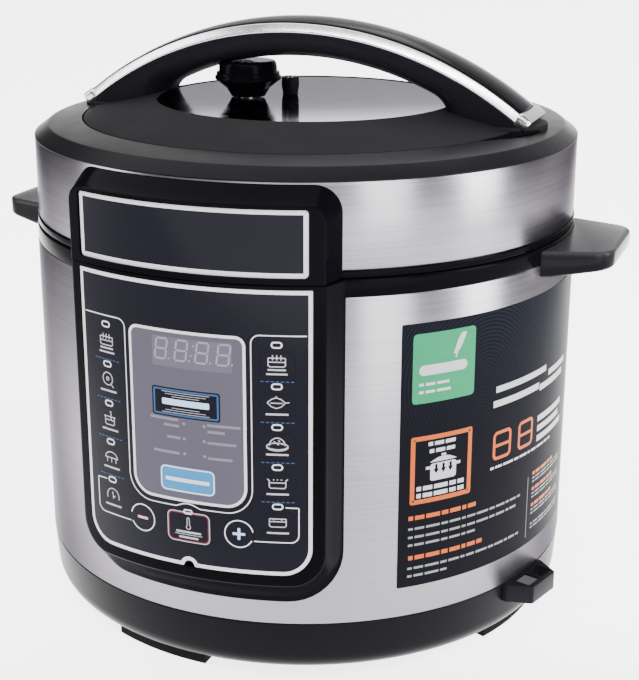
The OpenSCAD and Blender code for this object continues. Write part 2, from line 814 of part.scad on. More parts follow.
module cup_bracket() {
    depth = cup_d + 6;
    half = cup_w / 2 + 5;
    color("#19191b") difference() {
        union() {
            translate([-half, shell_r - 6, cup_z - 24]) cube([2 * half, 9, 28]);
            for (x = [-1, 1]) translate([x * (half - rail_t / 2) - rail_t / 2, shell_r, cup_z - 5])
                cube([rail_t, depth, 9]);
            for (x = [-1, 1]) translate([x * (half - 2.5) - 2.5, shell_r, cup_z - 5]) cube([5, depth, 2]);
        }
        cylinder(r = shell_r, h = far, $fn = 180);
        for (x = [-1, 1]) translate([x * cup_screw_x, shell_r - 8, cup_z - 14]) rotate([-90, 0, 0])
            cylinder(r = 1.5 + slack, h = 10.4 + slack, $fn = 24);
    }
}

module condensation_cup() {
    y0 = shell_r + 3 + gap;
    half = cup_w / 2 - 2;
    color("#6f6f78") difference() {
        union() {
            translate([-half, y0, cup_z - cup_h]) cube([2 * half, cup_d, cup_h]);
            translate([-half - 3.2, y0, cup_z - 3 + gap]) cube([2 * half + 6.4, cup_d + 3, 2.4]);
        }
        translate([-half + 1.8, y0 + 1.8, cup_z - cup_h + 1.8]) cube([2 * half - 3.6, cup_d - 3.6, cup_h + 5]);
    }
}

// ---- Lid ----

// Upper surface of the lid with everything below it, which the handle sits on
module lid_top() {
    turned([[0, band_z], [band_r, band_z], [band_r, band_top], [band_r - chamfer_w, lid_edge_z],
            [cover_r + 0.6, cover_z], [disc_r + 1.2, disc_z + 0.4], [0, disc_z + 0.4]]);
    ears();
}

// Pads of the matte cover under the ends of the handle
module ears() {
    for (x = [-1, 1]) intersection() {
        union() {
            translate([x * ear_x, 0, flange_z]) cylinder(r = ear_r, h = ear_z - flange_z);
            translate([x * ear_x / 2 + x * 20, 0, flange_z + (ear_z - flange_z) / 2])
                cube([ear_x - 40, 2 * ear_r, ear_z - flange_z], center = true);
        }
        ring(disc_r + 6, far, 0, far);
    }
}

module lid_outer_ring() {
    drum_in = band_in - wall;
    color("#3f3f43") difference() {
        union() {
            turned([[drum_in, band_z], [band_in, band_z], [band_in, band_top], [band_r, band_top],
                    [band_r - chamfer_w, lid_edge_z], [cover_r + 0.5, cover_z], [cover_r + 0.5, flange_z],
                    [flange_in, flange_z], [flange_in, flange_z - wall], [band_r - chamfer_w - 1, flange_z - wall],
                    [drum_in, band_top - 2]]);
            // Bosses that carry the pressure lid
            for (k = [0:5]) rotate(60 * k + 30) translate([boss_r, 0, liner_top])
                cylinder(r = 5, h = flange_z - liner_top - 1);
        }
        for (x = [-1, 1], y = [-1, 1]) translate([x * handle_screw_x, y * handle_screw_y, band_z]) cylinder(r = screw_r + slack, h = far);
        ears();
    }
}

module lid_cover() {
    lip_r = disc_r + 0.3;
    color("#2c2c2f") difference() {
        union() {
            turned([[flange_in, flange_z], [cover_r, flange_z], [cover_r, cover_z - 0.6], [cover_r - 0.6, cover_z],
                    [lip_r + 0.8, disc_z + 0.4], [lip_r, disc_z + 0.4], [lip_r, disc_z - disc_t],
                    [lip_r - 7, disc_z - disc_t], [lip_r - 7, disc_z - disc_t - 2],
                    [lip_r + 1, disc_z - disc_t - 2]]);
            ears();
        }
        for (x = [-1, 1], y = [-1, 1]) translate([x * handle_screw_x, y * handle_screw_y, band_z]) cylinder(r = screw_r + slack, h = far);
    }
}

module lid_band() {
    color("#a7a5a8") ring(band_in, band_r, band_z, band_h);
}

module lid_skirt() {
    trough_mid = (shell_r - wall + ring_out + 3) / 2;
    color("#151517") {
        turned([[lug_in - 0.3, skirt_z], [band_r + 0.2, skirt_z], [band_r + 0.6, skirt_z + 0.6],
                [band_r + 0.6, band_z - 0.6], [band_r + 0.2, band_z], [lug_in - 0.3, band_z]]);
        ring(trough_mid - 0.8, trough_mid + 0.8, skirt_z - 4, 4 + eps);
    }
}

module lid_bezel() {
    back = panel_outline(lid_bezel_angle, skirt_z, lid_bezel_z, 0.5, 9, shell_r);
    front = panel_outline(lid_bezel_angle - 3.6, skirt_z, lid_bezel_z - lid_bezel_slope, 0.5, 3, panel_r);
    color("#121215") difference() {
        intersection() {
            panel_block(back, front, shell_r, panel_r + 0.6);
            curve(band_r, panel_r + 0.6);
        }
        ring(0, band_r + 0.65, 0, band_z + slack);
        intersection() {
            curve(film_r - slack, panel_r + 1);
            facing(0, name_mid, -100) rounded(name_w + 2 * slack, name_h + 2 * slack, 1.5);
        }
    }
}

module lid_name_plate() {
    color("#1b1b22") intersection() {
        curve(film_r, film_r + film_t);
        facing(0, name_mid, -100) rounded(name_w, name_h, 1.5);
    }
}

module lid_top_disc() {
    color("#8d8c92") difference() {
        turned(concat([[0, disc_z - disc_t], [disc_r, disc_z - disc_t]],
                      [for (i = [8:-1:0]) [disc_r * i / 8, dish_z(disc_r * i / 8)]]));
        translate([pipe_at[0], pipe_at[1], 0]) cylinder(r = pipe_r + slack, h = far);
        translate([float_at[0], float_at[1], 0]) cylinder(r = float_r + 0.6, h = far);
        translate([float_at[0], float_at[1], guard_z]) cylinder(r = guard_r + slack, h = far);
    }
}

module lid_liner() {
    bend = 3;
    top_r = liner_r - 6;
    color("#b9b9bc") difference() {
        union() {
            turned(concat(
                [[0, liner_top - liner_t], [top_r - 4, liner_top - liner_t], [top_r - 4, rim_z + 8],
                 [top_r - 2.5, rim_z + 8], [top_r - 2.5, liner_top - liner_t], [liner_in, liner_top - liner_t - bend],
                 [liner_in, liner_z], [liner_r, liner_z]],
                arc(liner_r - bend, liner_top - bend, bend, 0, 90, 4),
                [[0, liner_top]]));
            // The lugs start just above the rolled edge
            lugs(liner_in + 0.5, liner_lug_r, liner_z + 0.4, liner_lug_t - 0.4, 0);
        }
        translate([pipe_at[0], pipe_at[1], 0]) cylinder(r = pipe_r + slack, h = far);
        translate([float_at[0], float_at[1], 0]) cylinder(r = float_r + 0.6, h = far);
    }
}

module sealing_ring() {
    out = liner_in - 0.3;
    in = liner_r - 11.2;
    z = rim_z + 0.3;
    top = rim_z + 7.7;
    color("#c9c9c6") turned([[in + 3, z], [out, z], [out, top], [in + 2, top], [in, top - 1.5], [in, z + 2.5],
                             [in + 1.4, z + 2.5], [in + 2.4, z + 4.2], [in + 4.5, z + 4.2], [in + 4.5, z + 1.6]]);
}

module steam_pipe() {
    color("#b9b9bc") translate([pipe_at[0], pipe_at[1], 0]) difference() {
        union() {
            translate([0, 0, liner_top - 8]) cylinder(r = pipe_r, h = pipe_top - liner_top + 8, $fn = 48);
            translate([0, 0, liner_top]) cylinder(r = pipe_r + 3.5, h = 3, $fn = 6);
        }
        translate([0, 0, liner_top - 9]) cylinder(r = 1.8, h = far, $fn = 32);
    }
}

module anti_block_shield() {
    z = liner_top - liner_t - 9;
    color("#b0b0b3") translate([pipe_at[0], pipe_at[1], 0]) difference() {
        translate([0, 0, z]) cylinder(r = 13, h = 9);
        translate([0, 0, z + 1.2]) cylinder(r = 11.8, h = 9);
        for (k = [0:11]) rotate(30 * k) translate([6, -0.9, z - 1]) cube([20, 1.8, 8.4]);
        translate([0, 0, z - 1]) cylinder(r = 1.5, h = 3, $fn = 24);
    }
}

module regulator_knob() {
    rim_low = disc_z + 8.2;
    rim_top = disc_z + 12;
    cap_r = knob_r - 2;
    bore = pipe_r + gap;
    color("#141416") translate([pipe_at[0], pipe_at[1], 0]) difference() {
        turned(concat(
            [[bore, knob_z], [hub_r - 0.4, knob_z], [hub_r, knob_z + 0.6], [hub_r + 2.4, disc_z + 3.6],
             [knob_r - 0.6, rim_low]],
            arc(knob_r - 0.8, rim_low + 1, 0.8, -60, 90, 4), [[knob_r - 1, rim_low + 2.2]],
            arc(knob_r - 1.4, rim_top - 0.6, 0.6, 0, 90, 3),
            [[cap_r - 0.2, rim_top], [cap_r - 0.5, rim_top + 2]],
            arc(cap_r - 2.1, knob_top - 1.6, 1.6, 10, 90, 5),
            [[0, knob_top], [0, pipe_top + 0.3], [bore, pipe_top + 0.3]]));
        // Shallow mark that shows which way the knob is turned
        translate([0, 4 - cap_r, knob_top]) cube([1.6, 8, 0.8], center = true);
    }
}

module float_valve() {
    clip_z = liner_top + 0.3;
    stop_z = liner_top - liner_t - float_travel - 0.6;
    color("#c0c0c2") translate([float_at[0], float_at[1], 0]) {
        translate([0, 0, stop_z - 5]) cylinder(r = float_r, h = disc_z + guard_h - 0.5 - stop_z + 5, $fn = 48);
        translate([0, 0, stop_z - 2]) cylinder(r = float_r + 2.6, h = 2, $fn = 48);
        translate([0, 0, clip_z]) cylinder(r = float_r + 1.8, h = 1, $fn = 48);
    }
}

module float_guard() {
    color("#161618") translate([float_at[0], float_at[1], 0]) difference() {
        turned(concat([[float_r + 0.5, guard_z], [guard_r - 0.8, guard_z], [guard_r, disc_z + 2]],
                      arc(guard_r - 1.2, disc_z + guard_h - 1.2, 1.2, 0, 90, 4),
                      [[float_r + 0.5, disc_z + guard_h]]));
        for (k = [0, 90]) rotate(k) translate([-0.6, -10, disc_z + guard_h - 1]) cube([1.2, 20, 2]);
    }
}

// ---- Arched handle ----

// Sweeps a [radius, width] shape along the arch, up to an angle on each side of its top
module along_arch(half_angle) {
    translate([0, 0, arch_z]) rotate([90, 0, 0]) rotate(90 - half_angle)
        rotate_extrude(angle = 2 * half_angle, $fn = 360) children();
}

// Hand opening seen from the front: an arc over two rounded corners, opened out by d
function opening(d) =
    let (r = open_r + d, x = grip_foot + 1.1 * d, f = 14 + 0.5 * d,
         h = sqrt(pow(r - f, 2) - pow(x - f, 2)), a = atan2(h, x - f))
    concat([[x, band_top - 10]], arc(x - f, open_z + h, f, 0, a, 6),
           [for (i = [1:19]) let (t = a + (180 - 2 * a) * i / 20) [r * cos(t), open_z + r * sin(t)]],
           arc(f - x, open_z + h, f, 180 - a, 180, 6), [[-x, band_top - 10]]);

// Cutter for the hand opening, flared towards both sides so that the grip is round below
module hand_opening() {
    lanes = [for (i = [-9:9]) sin(i * 10) * grip_half];
    flat = 0.15;
    function flare(y) = let (t = min(1, max(0, (abs(y) / grip_half - flat) / (1 - flat))))
        belly * (1 - sqrt(1 - t * t));
    rows = concat([-grip_half - 2], lanes, [grip_half + 2]);
    outline = [for (y = rows) [for (p = opening(flare(y))) [p[0], y, p[1]]]];
    n = len(outline[0]);
    m = len(rows);
    points = [for (row = outline, p = row) p];
    skin = [for (j = [0:m - 2], i = [0:n - 1], half = [0, 1]) let (k = (i + 1) % n, a = j * n, b = a + n)
        half == 0 ? [a + i, a + k, b + k] : [a + i, b + k, b + i]];
    ends = [[for (i = [n - 1:-1:0]) i], [for (i = [0:n - 1]) (m - 1) * n + i]];
    polyhedron(points = points, faces = concat(skin, ends), convexity = 6);
}

module handle_body() {
    color("#1d1d20") difference() {
        along_arch(arch_angle - cap_angle) difference() {
            translate([grip_in, -grip_half]) square([seat_r - grip_in, 2 * grip_half]);
            for (s = [-1, 1]) translate([trim_in, s * (cover_half + 10) - 10]) square([10, 20]);
        }
        hand_opening();
        lid_top();
        // Relief in the underside, over the regulator knob
        translate([pipe_at[0], pipe_at[1], disc_z]) cylinder(r = knob_r - 0.8, h = knob_top + 0.8 - disc_z);
        for (x = [-1, 1], y = [-1, 1]) translate([x * handle_screw_x, y * handle_screw_y, 0])
            cylinder(r = screw_r, h = ear_z + 7);
    }
}

module handle_cover() {
    bend = (pow(cover_half, 2) + pow(crown_h, 2)) / (2 * crown_h);
    color("#131315") along_arch(arch_angle - cap_angle) intersection() {
        translate([seat_r, -cover_half]) square([30, 2 * cover_half]);
        translate([trim_out + crown_h - 0.3 - bend, 0]) circle(bend, $fn = 256);
    }
}

module handle_trim() {
    strip = grip_w / 2 - trim_w;
    color("#d8d8dc") difference() {
        union() {
            along_arch(arch_angle - cap_angle / 2) for (s = [-1, 1]) translate([arch_r, s * (strip + trim_w / 2)])
                rounded(trim_h, trim_w, 1.4);
            for (s = [0, 1]) mirror([s, 0, 0]) translate([0, 0, arch_z]) rotate([90, 0, 0])
                rotate(90 - arch_angle) rotate_extrude(angle = cap_angle, $fn = 360)
                    translate([arch_r - 0.8, 0]) rounded(trim_h + 2.4, grip_w + 0.6, 1.4);
        }
        lid_top();
    }
}

module handle_screws() {
    color("#8a8a8c") for (x = [-1, 1], y = [-1, 1]) translate([x * handle_screw_x, y * handle_screw_y, 0]) {
        translate([0, 0, flange_z - wall - 2]) cylinder(r = 4, h = 2, $fn = 32);
        translate([0, 0, flange_z - wall - 1]) cylinder(r = screw_r - slack, h = ear_z + 6 - flange_z + wall, $fn = 32);
    }
}

base_housing();
rubber_feet();
outer_shell();
upper_collar();
side_handle_left();
side_handle_right();
control_bezel();
control_overlay();
display_window();
display_module();
control_board();
key_switches();
pressure_housing();
locking_ring();
heating_plate();
temperature_sensor();
sensor_spring();
pressure_switch();
thermal_fuse();
power_board();
power_inlet();
spoon_holder();
side_label();
housing_screws();
condensation_cup();
cup_bracket();
for (i = [0:4]) {
    key(i);
    key(i + 5);
}
key(10);  // key_minus
key(11);  // key_plus
key(12);  // key_cancel
key(13);  // key_reheat
key(14);  // key_manual
inner_pot();
sealing_ring();
lid_cover();
lid_outer_ring();
lid_band();
lid_skirt();
lid_bezel();
lid_name_plate();
lid_top_disc();
handle_body();
handle_cover();
handle_trim();
lid_liner();
steam_pipe();
regulator_knob();
float_valve();
float_guard();
anti_block_shield();
handle_screws();
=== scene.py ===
import math

import bmesh
import bpy
from bpy.props import FloatProperty, PointerProperty
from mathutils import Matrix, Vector


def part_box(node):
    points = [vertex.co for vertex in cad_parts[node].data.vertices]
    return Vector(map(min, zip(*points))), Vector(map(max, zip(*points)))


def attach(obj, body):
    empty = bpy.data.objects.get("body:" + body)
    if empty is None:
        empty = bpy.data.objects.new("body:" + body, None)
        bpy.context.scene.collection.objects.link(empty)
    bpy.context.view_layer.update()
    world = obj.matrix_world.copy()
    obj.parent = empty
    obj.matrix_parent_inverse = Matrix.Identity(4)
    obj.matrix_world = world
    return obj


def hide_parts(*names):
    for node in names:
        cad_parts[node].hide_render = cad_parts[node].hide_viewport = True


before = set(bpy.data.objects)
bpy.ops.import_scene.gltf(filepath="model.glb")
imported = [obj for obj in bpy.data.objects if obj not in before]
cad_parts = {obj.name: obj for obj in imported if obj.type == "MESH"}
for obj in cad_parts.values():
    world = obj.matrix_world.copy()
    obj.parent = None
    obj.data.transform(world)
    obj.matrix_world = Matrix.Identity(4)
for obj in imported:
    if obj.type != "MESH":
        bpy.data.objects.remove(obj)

bl_info = {
    "name": "Electric Pressure Cooker",
    "version": (1, 0, 0),
    "blender": (4, 5, 0),
    "location": "View3D > Sidebar > Cooker",
    "description": "Builds the pieces, prints and finishes of an electric pressure cooker on its frame",
    "category": "Add Mesh",
}

MM = 0.001
INK_LIFT = 0.00004
WINDOW_HEAD = 0.004


# ---- Sizes ----


def length(default, text):
    return FloatProperty(name=text, description=text, default=default, unit="LENGTH")


def angle(default, text):
    return FloatProperty(
        name=text, description=text, default=math.radians(default), subtype="ANGLE", unit="ROTATION"
    )


def share(default, text):
    return FloatProperty(name=text, description=text, default=default, min=0.0)


class BodySizes(bpy.types.PropertyGroup):
    shell_r: length(0.142, "Outside radius of the steel body")
    steel_t: length(0.0006, "Thickness of the sheet steel")
    foot_h: length(0.005, "Height of the rubber feet")
    base_top: length(0.033, "Top of the base")
    shell_top: length(0.196, "Top of the steel body")
    collar_top: length(0.2046, "Top of the collar")
    base_round: length(0.0113, "Rounding of the base's lower edge")
    base_draft: length(0.002, "Draft of the base wall")
    wall: length(0.0025, "Wall of the plastic mouldings")
    ring_out: length(0.130, "Outside radius of the locking ring")
    foot_in: length(0.113, "Inner radius of a foot pad")
    foot_out: length(0.133, "Outer radius of a foot pad")
    foot_turn: angle(-13, "Angle of the first foot from the front")
    foot_span: angle(24, "Angle that each foot spans")


class HandleSizes(bpy.types.PropertyGroup):
    side_top: length(0.203, "Top of the side handles")
    side_t: length(0.013, "Thickness of a side handle")
    side_reach: length(0.169, "Reach of a side handle from the middle")
    side_tip: length(0.029, "Half width of a side handle at its tip")
    side_root: length(0.040, "Half width of a side handle at its root")
    side_corner: length(0.012, "Corner radius of a side handle")
    side_taper: length(0.0042, "Rise of a side handle's underside towards its tip")
    arch_r: length(0.194, "Radius of the arch at its trim")
    arch_z: length(0.1078, "Height of the arch's centre")
    arch_angle: angle(38.97, "Angle from the arch's top to its end")
    cap_angle: angle(2, "Angle that an end cap spans")
    trim_h: length(0.005, "Height of the chrome trim")
    trim_w: length(0.003, "Width of the chrome trim")
    grip_half: length(0.0173, "Half width of the grip")
    cover_half: length(0.0144, "Half width of the gloss cover")
    crown: length(0.002, "Height of the cover's crown above the trim")
    open_r: length(0.168, "Radius of the hand opening")
    open_z: length(0.118, "Height of the hand opening's centre")
    open_foot: length(0.079, "Half width of the hand opening at its foot")
    open_fillet: length(0.014, "Rounding of the hand opening at its foot")
    belly: length(0.0085, "Rounding of the grip's lower edges")
    ear_x: length(0.106, "Distance of a handle pad from the middle")
    ear_r: length(0.022, "Radius of a handle pad")
    ear_top: length(0.258, "Top of a handle pad")


class LidSizes(bpy.types.PropertyGroup):
    skirt_low: length(0.205, "Lower edge of the lid skirt")
    band_low: length(0.2084, "Lower edge of the steel band")
    band_top: length(0.2484, "Top of the steel band")
    band_r: length(0.141, "Radius of the steel band")
    chamfer_w: length(0.007, "Width of the lid's chamfer")
    chamfer_h: length(0.0058, "Height of the lid's chamfer")
    cover_r: length(0.1159, "Radius of the matte cover")
    cover_z: length(0.2562, "Height of the matte cover's edge")
    disc_r: length(0.0777, "Radius of the centre disc")
    disc_z: length(0.264, "Height of the centre disc")
    dish: length(0.002, "Depth to which the centre disc is dished")
    liner_top: length(0.2135, "Top of the pressure lid")
    pipe_x: length(-0.033, "Distance of the regulator knob from the middle")
    pipe_r: length(0.005, "Radius of the steam pipe")
    knob_r: length(0.0178, "Radius of the regulator knob")
    float_x: length(-0.017, "Distance of the float from the middle")
    float_y: length(0.020, "Distance of the float behind the middle")
    guard_r: length(0.0047, "Radius of the float's guard")


class PanelSizes(bpy.types.PropertyGroup):
    face_r: length(0.1524, "Radius of the bezel's front face")
    film_r: length(0.1520, "Radius of the film's front face")
    film_t: length(0.0008, "Thickness of the film")
    bezel_low: length(0.045, "Lower edge of the bezel")
    bezel_angle: angle(28.5, "Half angle of the bezel at the body")
    bezel_slope: length(0.014, "Slope of the bezel's lower edge")
    bezel_corner: length(0.027, "Radius of the bezel's lower corners")
    film_low: length(0.0638, "Lower edge of the overlay")
    film_top: length(0.2027, "Upper edge of the overlay")
    film_half: length(0.0582, "Half width of the overlay")
    film_corner: length(0.014, "Radius of the overlay's lower corners")
    window_half: length(0.0286, "Half width of the display window")
    window_low: length(0.0975, "Lower edge of the display window")
    window_top: length(0.1799, "Upper edge of the display window")
    window_corner: length(0.0095, "Radius of the display window's lower corners")
    key_x: length(0.0434, "Distance of the programme keys from the middle")
    key_z: length(0.1678, "Height of the first programme key")
    key_pitch: length(0.0196, "Pitch of the programme keys")
    key_w: length(0.015, "Width of a programme key")
    key_h: length(0.0126, "Height of a programme key")
    low_z: length(0.084, "Height of the lowest keys")
    round_x: length(0.025, "Distance of the round keys from the middle")
    round_r: length(0.0073, "Radius of the round keys")
    cancel_w: length(0.023, "Width of the cancel key")
    cancel_h: length(0.0166, "Height of the cancel key")
    reheat_z: length(0.1457, "Height of the reheat key")
    reheat_w: length(0.0342, "Width of the reheat key")
    reheat_h: length(0.014, "Height of the reheat key")
    manual_z: length(0.1078, "Height of the manual key")
    manual_w: length(0.0282, "Width of the manual key")
    manual_h: length(0.013, "Height of the manual key")
    plate_low: length(0.2082, "Lower edge of the name plate")
    plate_top: length(0.2388, "Upper edge of the name plate")
    plate_half: length(0.0568, "Half width of the name plate")
    lid_bezel_top: length(0.2476, "Top of the lid bezel")
    lid_bezel_slope: length(0.0073, "Slope of the lid bezel's upper edge")
    lid_bezel_angle: angle(27.9, "Half angle of the lid bezel at the band")


class LabelSizes(bpy.types.PropertyGroup):
    start: angle(39.2, "Angle of the label's first edge from the front")
    width: length(0.137, "Width of the label")
    low: length(0.0485, "Lower edge of the label")
    height: length(0.133, "Height of the label")


class FittingSizes(bpy.types.PropertyGroup):
    spoon_turn: angle(73.3, "Angle of the spoon holder from the front")
    spoon_reach: length(0.1545, "Reach of the spoon holder")
    cup_half: length(0.026, "Half width of the condensation cup")
    cup_low: length(0.1515, "Bottom of the condensation cup")
    cup_top: length(0.1895, "Top of the condensation cup")
    cup_y: length(0.1454, "Front of the condensation cup")
    cup_d: length(0.025, "Depth of the condensation cup")
    bracket_half: length(0.033, "Half width of the cup bracket")
    inlet_z: length(0.017, "Height of the mains inlet")


class StageSizes(bpy.types.PropertyGroup):
    azimuth: angle(21.35, "Turn of the camera from the front")
    elevation: angle(18.05, "Height of the camera above the horizon")
    distance: length(0.8026, "Distance of the camera")
    aim: length(0.1324, "Height that the camera aims at")
    lens: share(76.98, "Focal length in millimetres")
    floor: length(6.0, "Size of the floor")


# ---- Shader maths ----


class Value:
    """A node output that takes part in arithmetic."""

    def __init__(self, finish, socket):
        self.finish = finish
        self.socket = socket

    def _do(self, operation, *terms):
        node = self.finish.node("ShaderNodeMath", {"operation": operation}, dict(enumerate(terms)))
        return Value(self.finish, node.outputs[0])

    def __add__(self, other):
        return self._do("ADD", self, other)

    def __radd__(self, other):
        return self._do("ADD", other, self)

    def __sub__(self, other):
        return self._do("SUBTRACT", self, other)

    def __rsub__(self, other):
        return self._do("SUBTRACT", other, self)

    def __mul__(self, other):
        return self._do("MULTIPLY", self, other)

    def __rmul__(self, other):
        return self._do("MULTIPLY", other, self)

    def __truediv__(self, other):
        return self._do("DIVIDE", self, other)

    def __pow__(self, other):
        return self._do("POWER", self, other)

    def sine(self):
        return self._do("SINE", self)

    def arctan(self, other):
        return self._do("ARCTAN2", self, other)

    def ramp(self, low, high):
        node = self.finish.node(
            "ShaderNodeMapRange", {"interpolation_type": "SMOOTHSTEP"},
            {"Value": self, "From Min": low, "From Max": high}
        )
        return Value(self.finish, node.outputs[0])


class Finish:
    """A procedural material on one Principled surface."""

    def __init__(self, name, colour, roughness, metallic=0.0, **constants):
        self.material = bpy.data.materials.new(name)
        self.material.use_nodes = True
        self.material.diffuse_color = (*colour, 1.0)
        self.nodes = self.material.node_tree.nodes
        self.links = self.material.node_tree.links
        self.surface = self.nodes["Principled BSDF"]
        self.place = Value(self, self.nodes.new("ShaderNodeTexCoord").outputs["Object"])
        self.set("Base Color", (*colour, 1.0))
        self.set("Roughness", roughness)
        self.set("Metallic", metallic)
        for word, value in constants.items():
            self.set(word.replace("_", " "), value)

    def put(self, socket, value):
        if isinstance(value, Value):
            self.links.new(value.socket, socket)
        else:
            socket.default_value = value

    def set(self, word, value):
        self.put(self.surface.inputs[word], value)
        return self

    def node(self, kind, settings=None, inputs=None):
        node = self.nodes.new(kind)
        for word, value in (settings or {}).items():
            setattr(node, word, value)
        for word, value in (inputs or {}).items():
            self.put(node.inputs[word], value)
        return node

    def noise(self, scale, detail, place=None):
        inputs = {"Vector": place or self.place, "Scale": scale, "Detail": detail}
        return Value(self, self.node("ShaderNodeTexNoise", None, inputs).outputs[0])

    def axes(self):
        node = self.node("ShaderNodeSeparateXYZ", None, {0: self.place})
        return [Value(self, out) for out in node.outputs]

    def vector(self, x, y, z):
        return Value(self, self.node("ShaderNodeCombineXYZ", None, {0: x, 1: y, 2: z}).outputs[0])

    def mix(self, factor, first, second):
        node = self.node("ShaderNodeMix", {"data_type": "RGBA"}, {"Factor": factor})
        self.put(node.inputs[6], first if isinstance(first, Value) else (*first, 1.0))
        self.put(node.inputs[7], second if isinstance(second, Value) else (*second, 1.0))
        return Value(self, node.outputs[2])

    def bump(self, height, distance, strength=1.0):
        inputs = {"Height": height, "Distance": distance, "Strength": strength}
        return Value(self, self.node("ShaderNodeBump", None, inputs).outputs[0])

    def around(self):
        """Place as (turn about the upright axis, distance from it, height)."""
        x, y, z = self.axes()
        turn = y.arctan(x)
        reach = (x * x + y * y) ** 0.5
        return turn, reach, z


def moulded(name, colour, roughness, grain=900.0, depth=0.00003, gleam=0.5, **constants):
    """Moulded plastic: a fine grain, uneven gloss and faint dust."""
    finish = Finish(name, colour, roughness, Specular_IOR_Level=gleam, **constants)
    patches = finish.noise(45.0, 3.0)
    dust = finish.noise(600.0, 4.0).ramp(0.58, 0.8)
    lighter = tuple(c * 1.25 + 0.004 for c in colour)
    finish.set("Base Color", finish.mix(dust * 0.35, colour, lighter))
    finish.set("Roughness", patches * 0.14 + (roughness - 0.07) + dust * 0.08)
    finish.set("Normal", finish.bump(finish.noise(grain, 2.0), depth))
    return finish.material


def lit_on_top(name, colour, lit_colour, low, high):
    """Black moulding with a painted highlight: its upper face, between two heights, painted lighter as if
    lit from above.
    """
    finish = Finish(name, colour, 0.2, Specular_IOR_Level=0.07)
    height = finish.axes()[2]
    patches = finish.noise(45.0, 3.0)
    # painted highlight: the colour lightens on the upper face, between the two heights, as if lit from
    # above
    top_light = height.ramp(low, high) * (patches * 0.5 + 0.6)
    finish.set("Base Color", finish.mix(top_light, colour, lit_colour))
    finish.set("Roughness", patches * 0.10 + 0.08 + top_light * 0.08)
    finish.set("Normal", finish.bump(finish.noise(1200.0, 2.0), 0.00001))
    return finish.material


def glossy(name, colour, roughness, gleam=0.025):
    """Polished moulding with faint waviness, smears and specks."""
    finish = Finish(name, colour, roughness, Specular_IOR_Level=gleam)
    smear = finish.noise(28.0, 5.0).ramp(0.45, 0.75)
    speck = finish.noise(1400.0, 2.0).ramp(0.72, 0.8)
    finish.set("Roughness", smear * 0.06 + roughness + speck * 0.2)
    finish.set("Base Color", finish.mix(speck * 0.3, colour, tuple(c + 0.05 for c in colour)))
    finish.set("Normal", finish.bump(finish.noise(35.0, 1.0), 0.00012, 0.35))
    return finish.material


def shade(colour, factor):
    return tuple(c * factor for c in colour)


def brushed(name, colour, roughness):
    """Sheet steel brushed round the body: long streaks, fine across the height, with painted shade towards
    the foot.
    """
    edge = (*shade(colour, 0.8), 1.0)
    finish = Finish(
        name, colour, roughness, 1.0, Anisotropic=0.8, Anisotropic_Rotation=0.25, Specular_Tint=edge
    )
    turn, reach, z = finish.around()
    long = finish.vector(turn * 1.6, reach * 3.0, z * 1500.0)
    fine = finish.vector(turn * 9.0, reach * 3.0, z * 4200.0)
    streak = finish.noise(1.0, 3.0, long)
    hair = finish.noise(1.0, 4.0, fine)
    haze = finish.noise(14.0, 3.0)
    tone = finish.mix(streak.ramp(0.3, 0.7), shade(colour, 0.90), shade(colour, 1.07))
    # painted shade: the base colour darkens towards the foot, between two heights
    finish.set("Base Color", finish.mix(z.ramp(0.02, 0.12), shade(colour, 0.74), tone))
    finish.set("Roughness", streak * 0.06 + hair * 0.08 + haze * 0.04 + (roughness - 0.09))
    finish.set("Normal", finish.bump(hair * 0.7 + streak * 0.3, 0.00004, 0.7))
    return finish.material


def polished(name, colour, roughness):
    """Plated or polished metal with light smears."""
    finish = Finish(name, colour, roughness, 1.0, Specular_Tint=(*colour, 1.0))
    smear = finish.noise(60.0, 4.0).ramp(0.4, 0.8)
    finish.set("Roughness", smear * 0.05 + roughness)
    finish.set("Normal", finish.bump(finish.noise(120.0, 1.0), 0.00004, 0.3))
    return finish.material


def spun(name, colour, roughness):
    """Metal spun or turned about its axis, with rings of fine lines."""
    finish = Finish(name, colour, roughness, 1.0)
    turn, reach, z = finish.around()
    lines = finish.noise(1.0, 3.0, finish.vector(turn * 1.5, reach * 2200.0, z * 2200.0))
    haze = finish.noise(30.0, 3.0)
    finish.set("Base Color", finish.mix(haze, shade(colour, 0.9), colour))
    finish.set("Roughness", lines * 0.15 + haze * 0.08 + (roughness - 0.1))
    finish.set("Normal", finish.bump(lines, 0.00004, 0.7))
    return finish.material


def ink(name, colour, roughness=0.3):
    """Screen-printed ink: slightly mottled, with the film's gloss."""
    finish = Finish(name, colour, roughness, Specular_IOR_Level=0.08)
    mottle = finish.noise(700.0, 2.0)
    finish.set("Base Color", finish.mix(mottle, shade(colour, 0.93), colour))
    finish.set("Roughness", mottle * 0.1 + roughness)
    return finish.material


FINISHES = {}


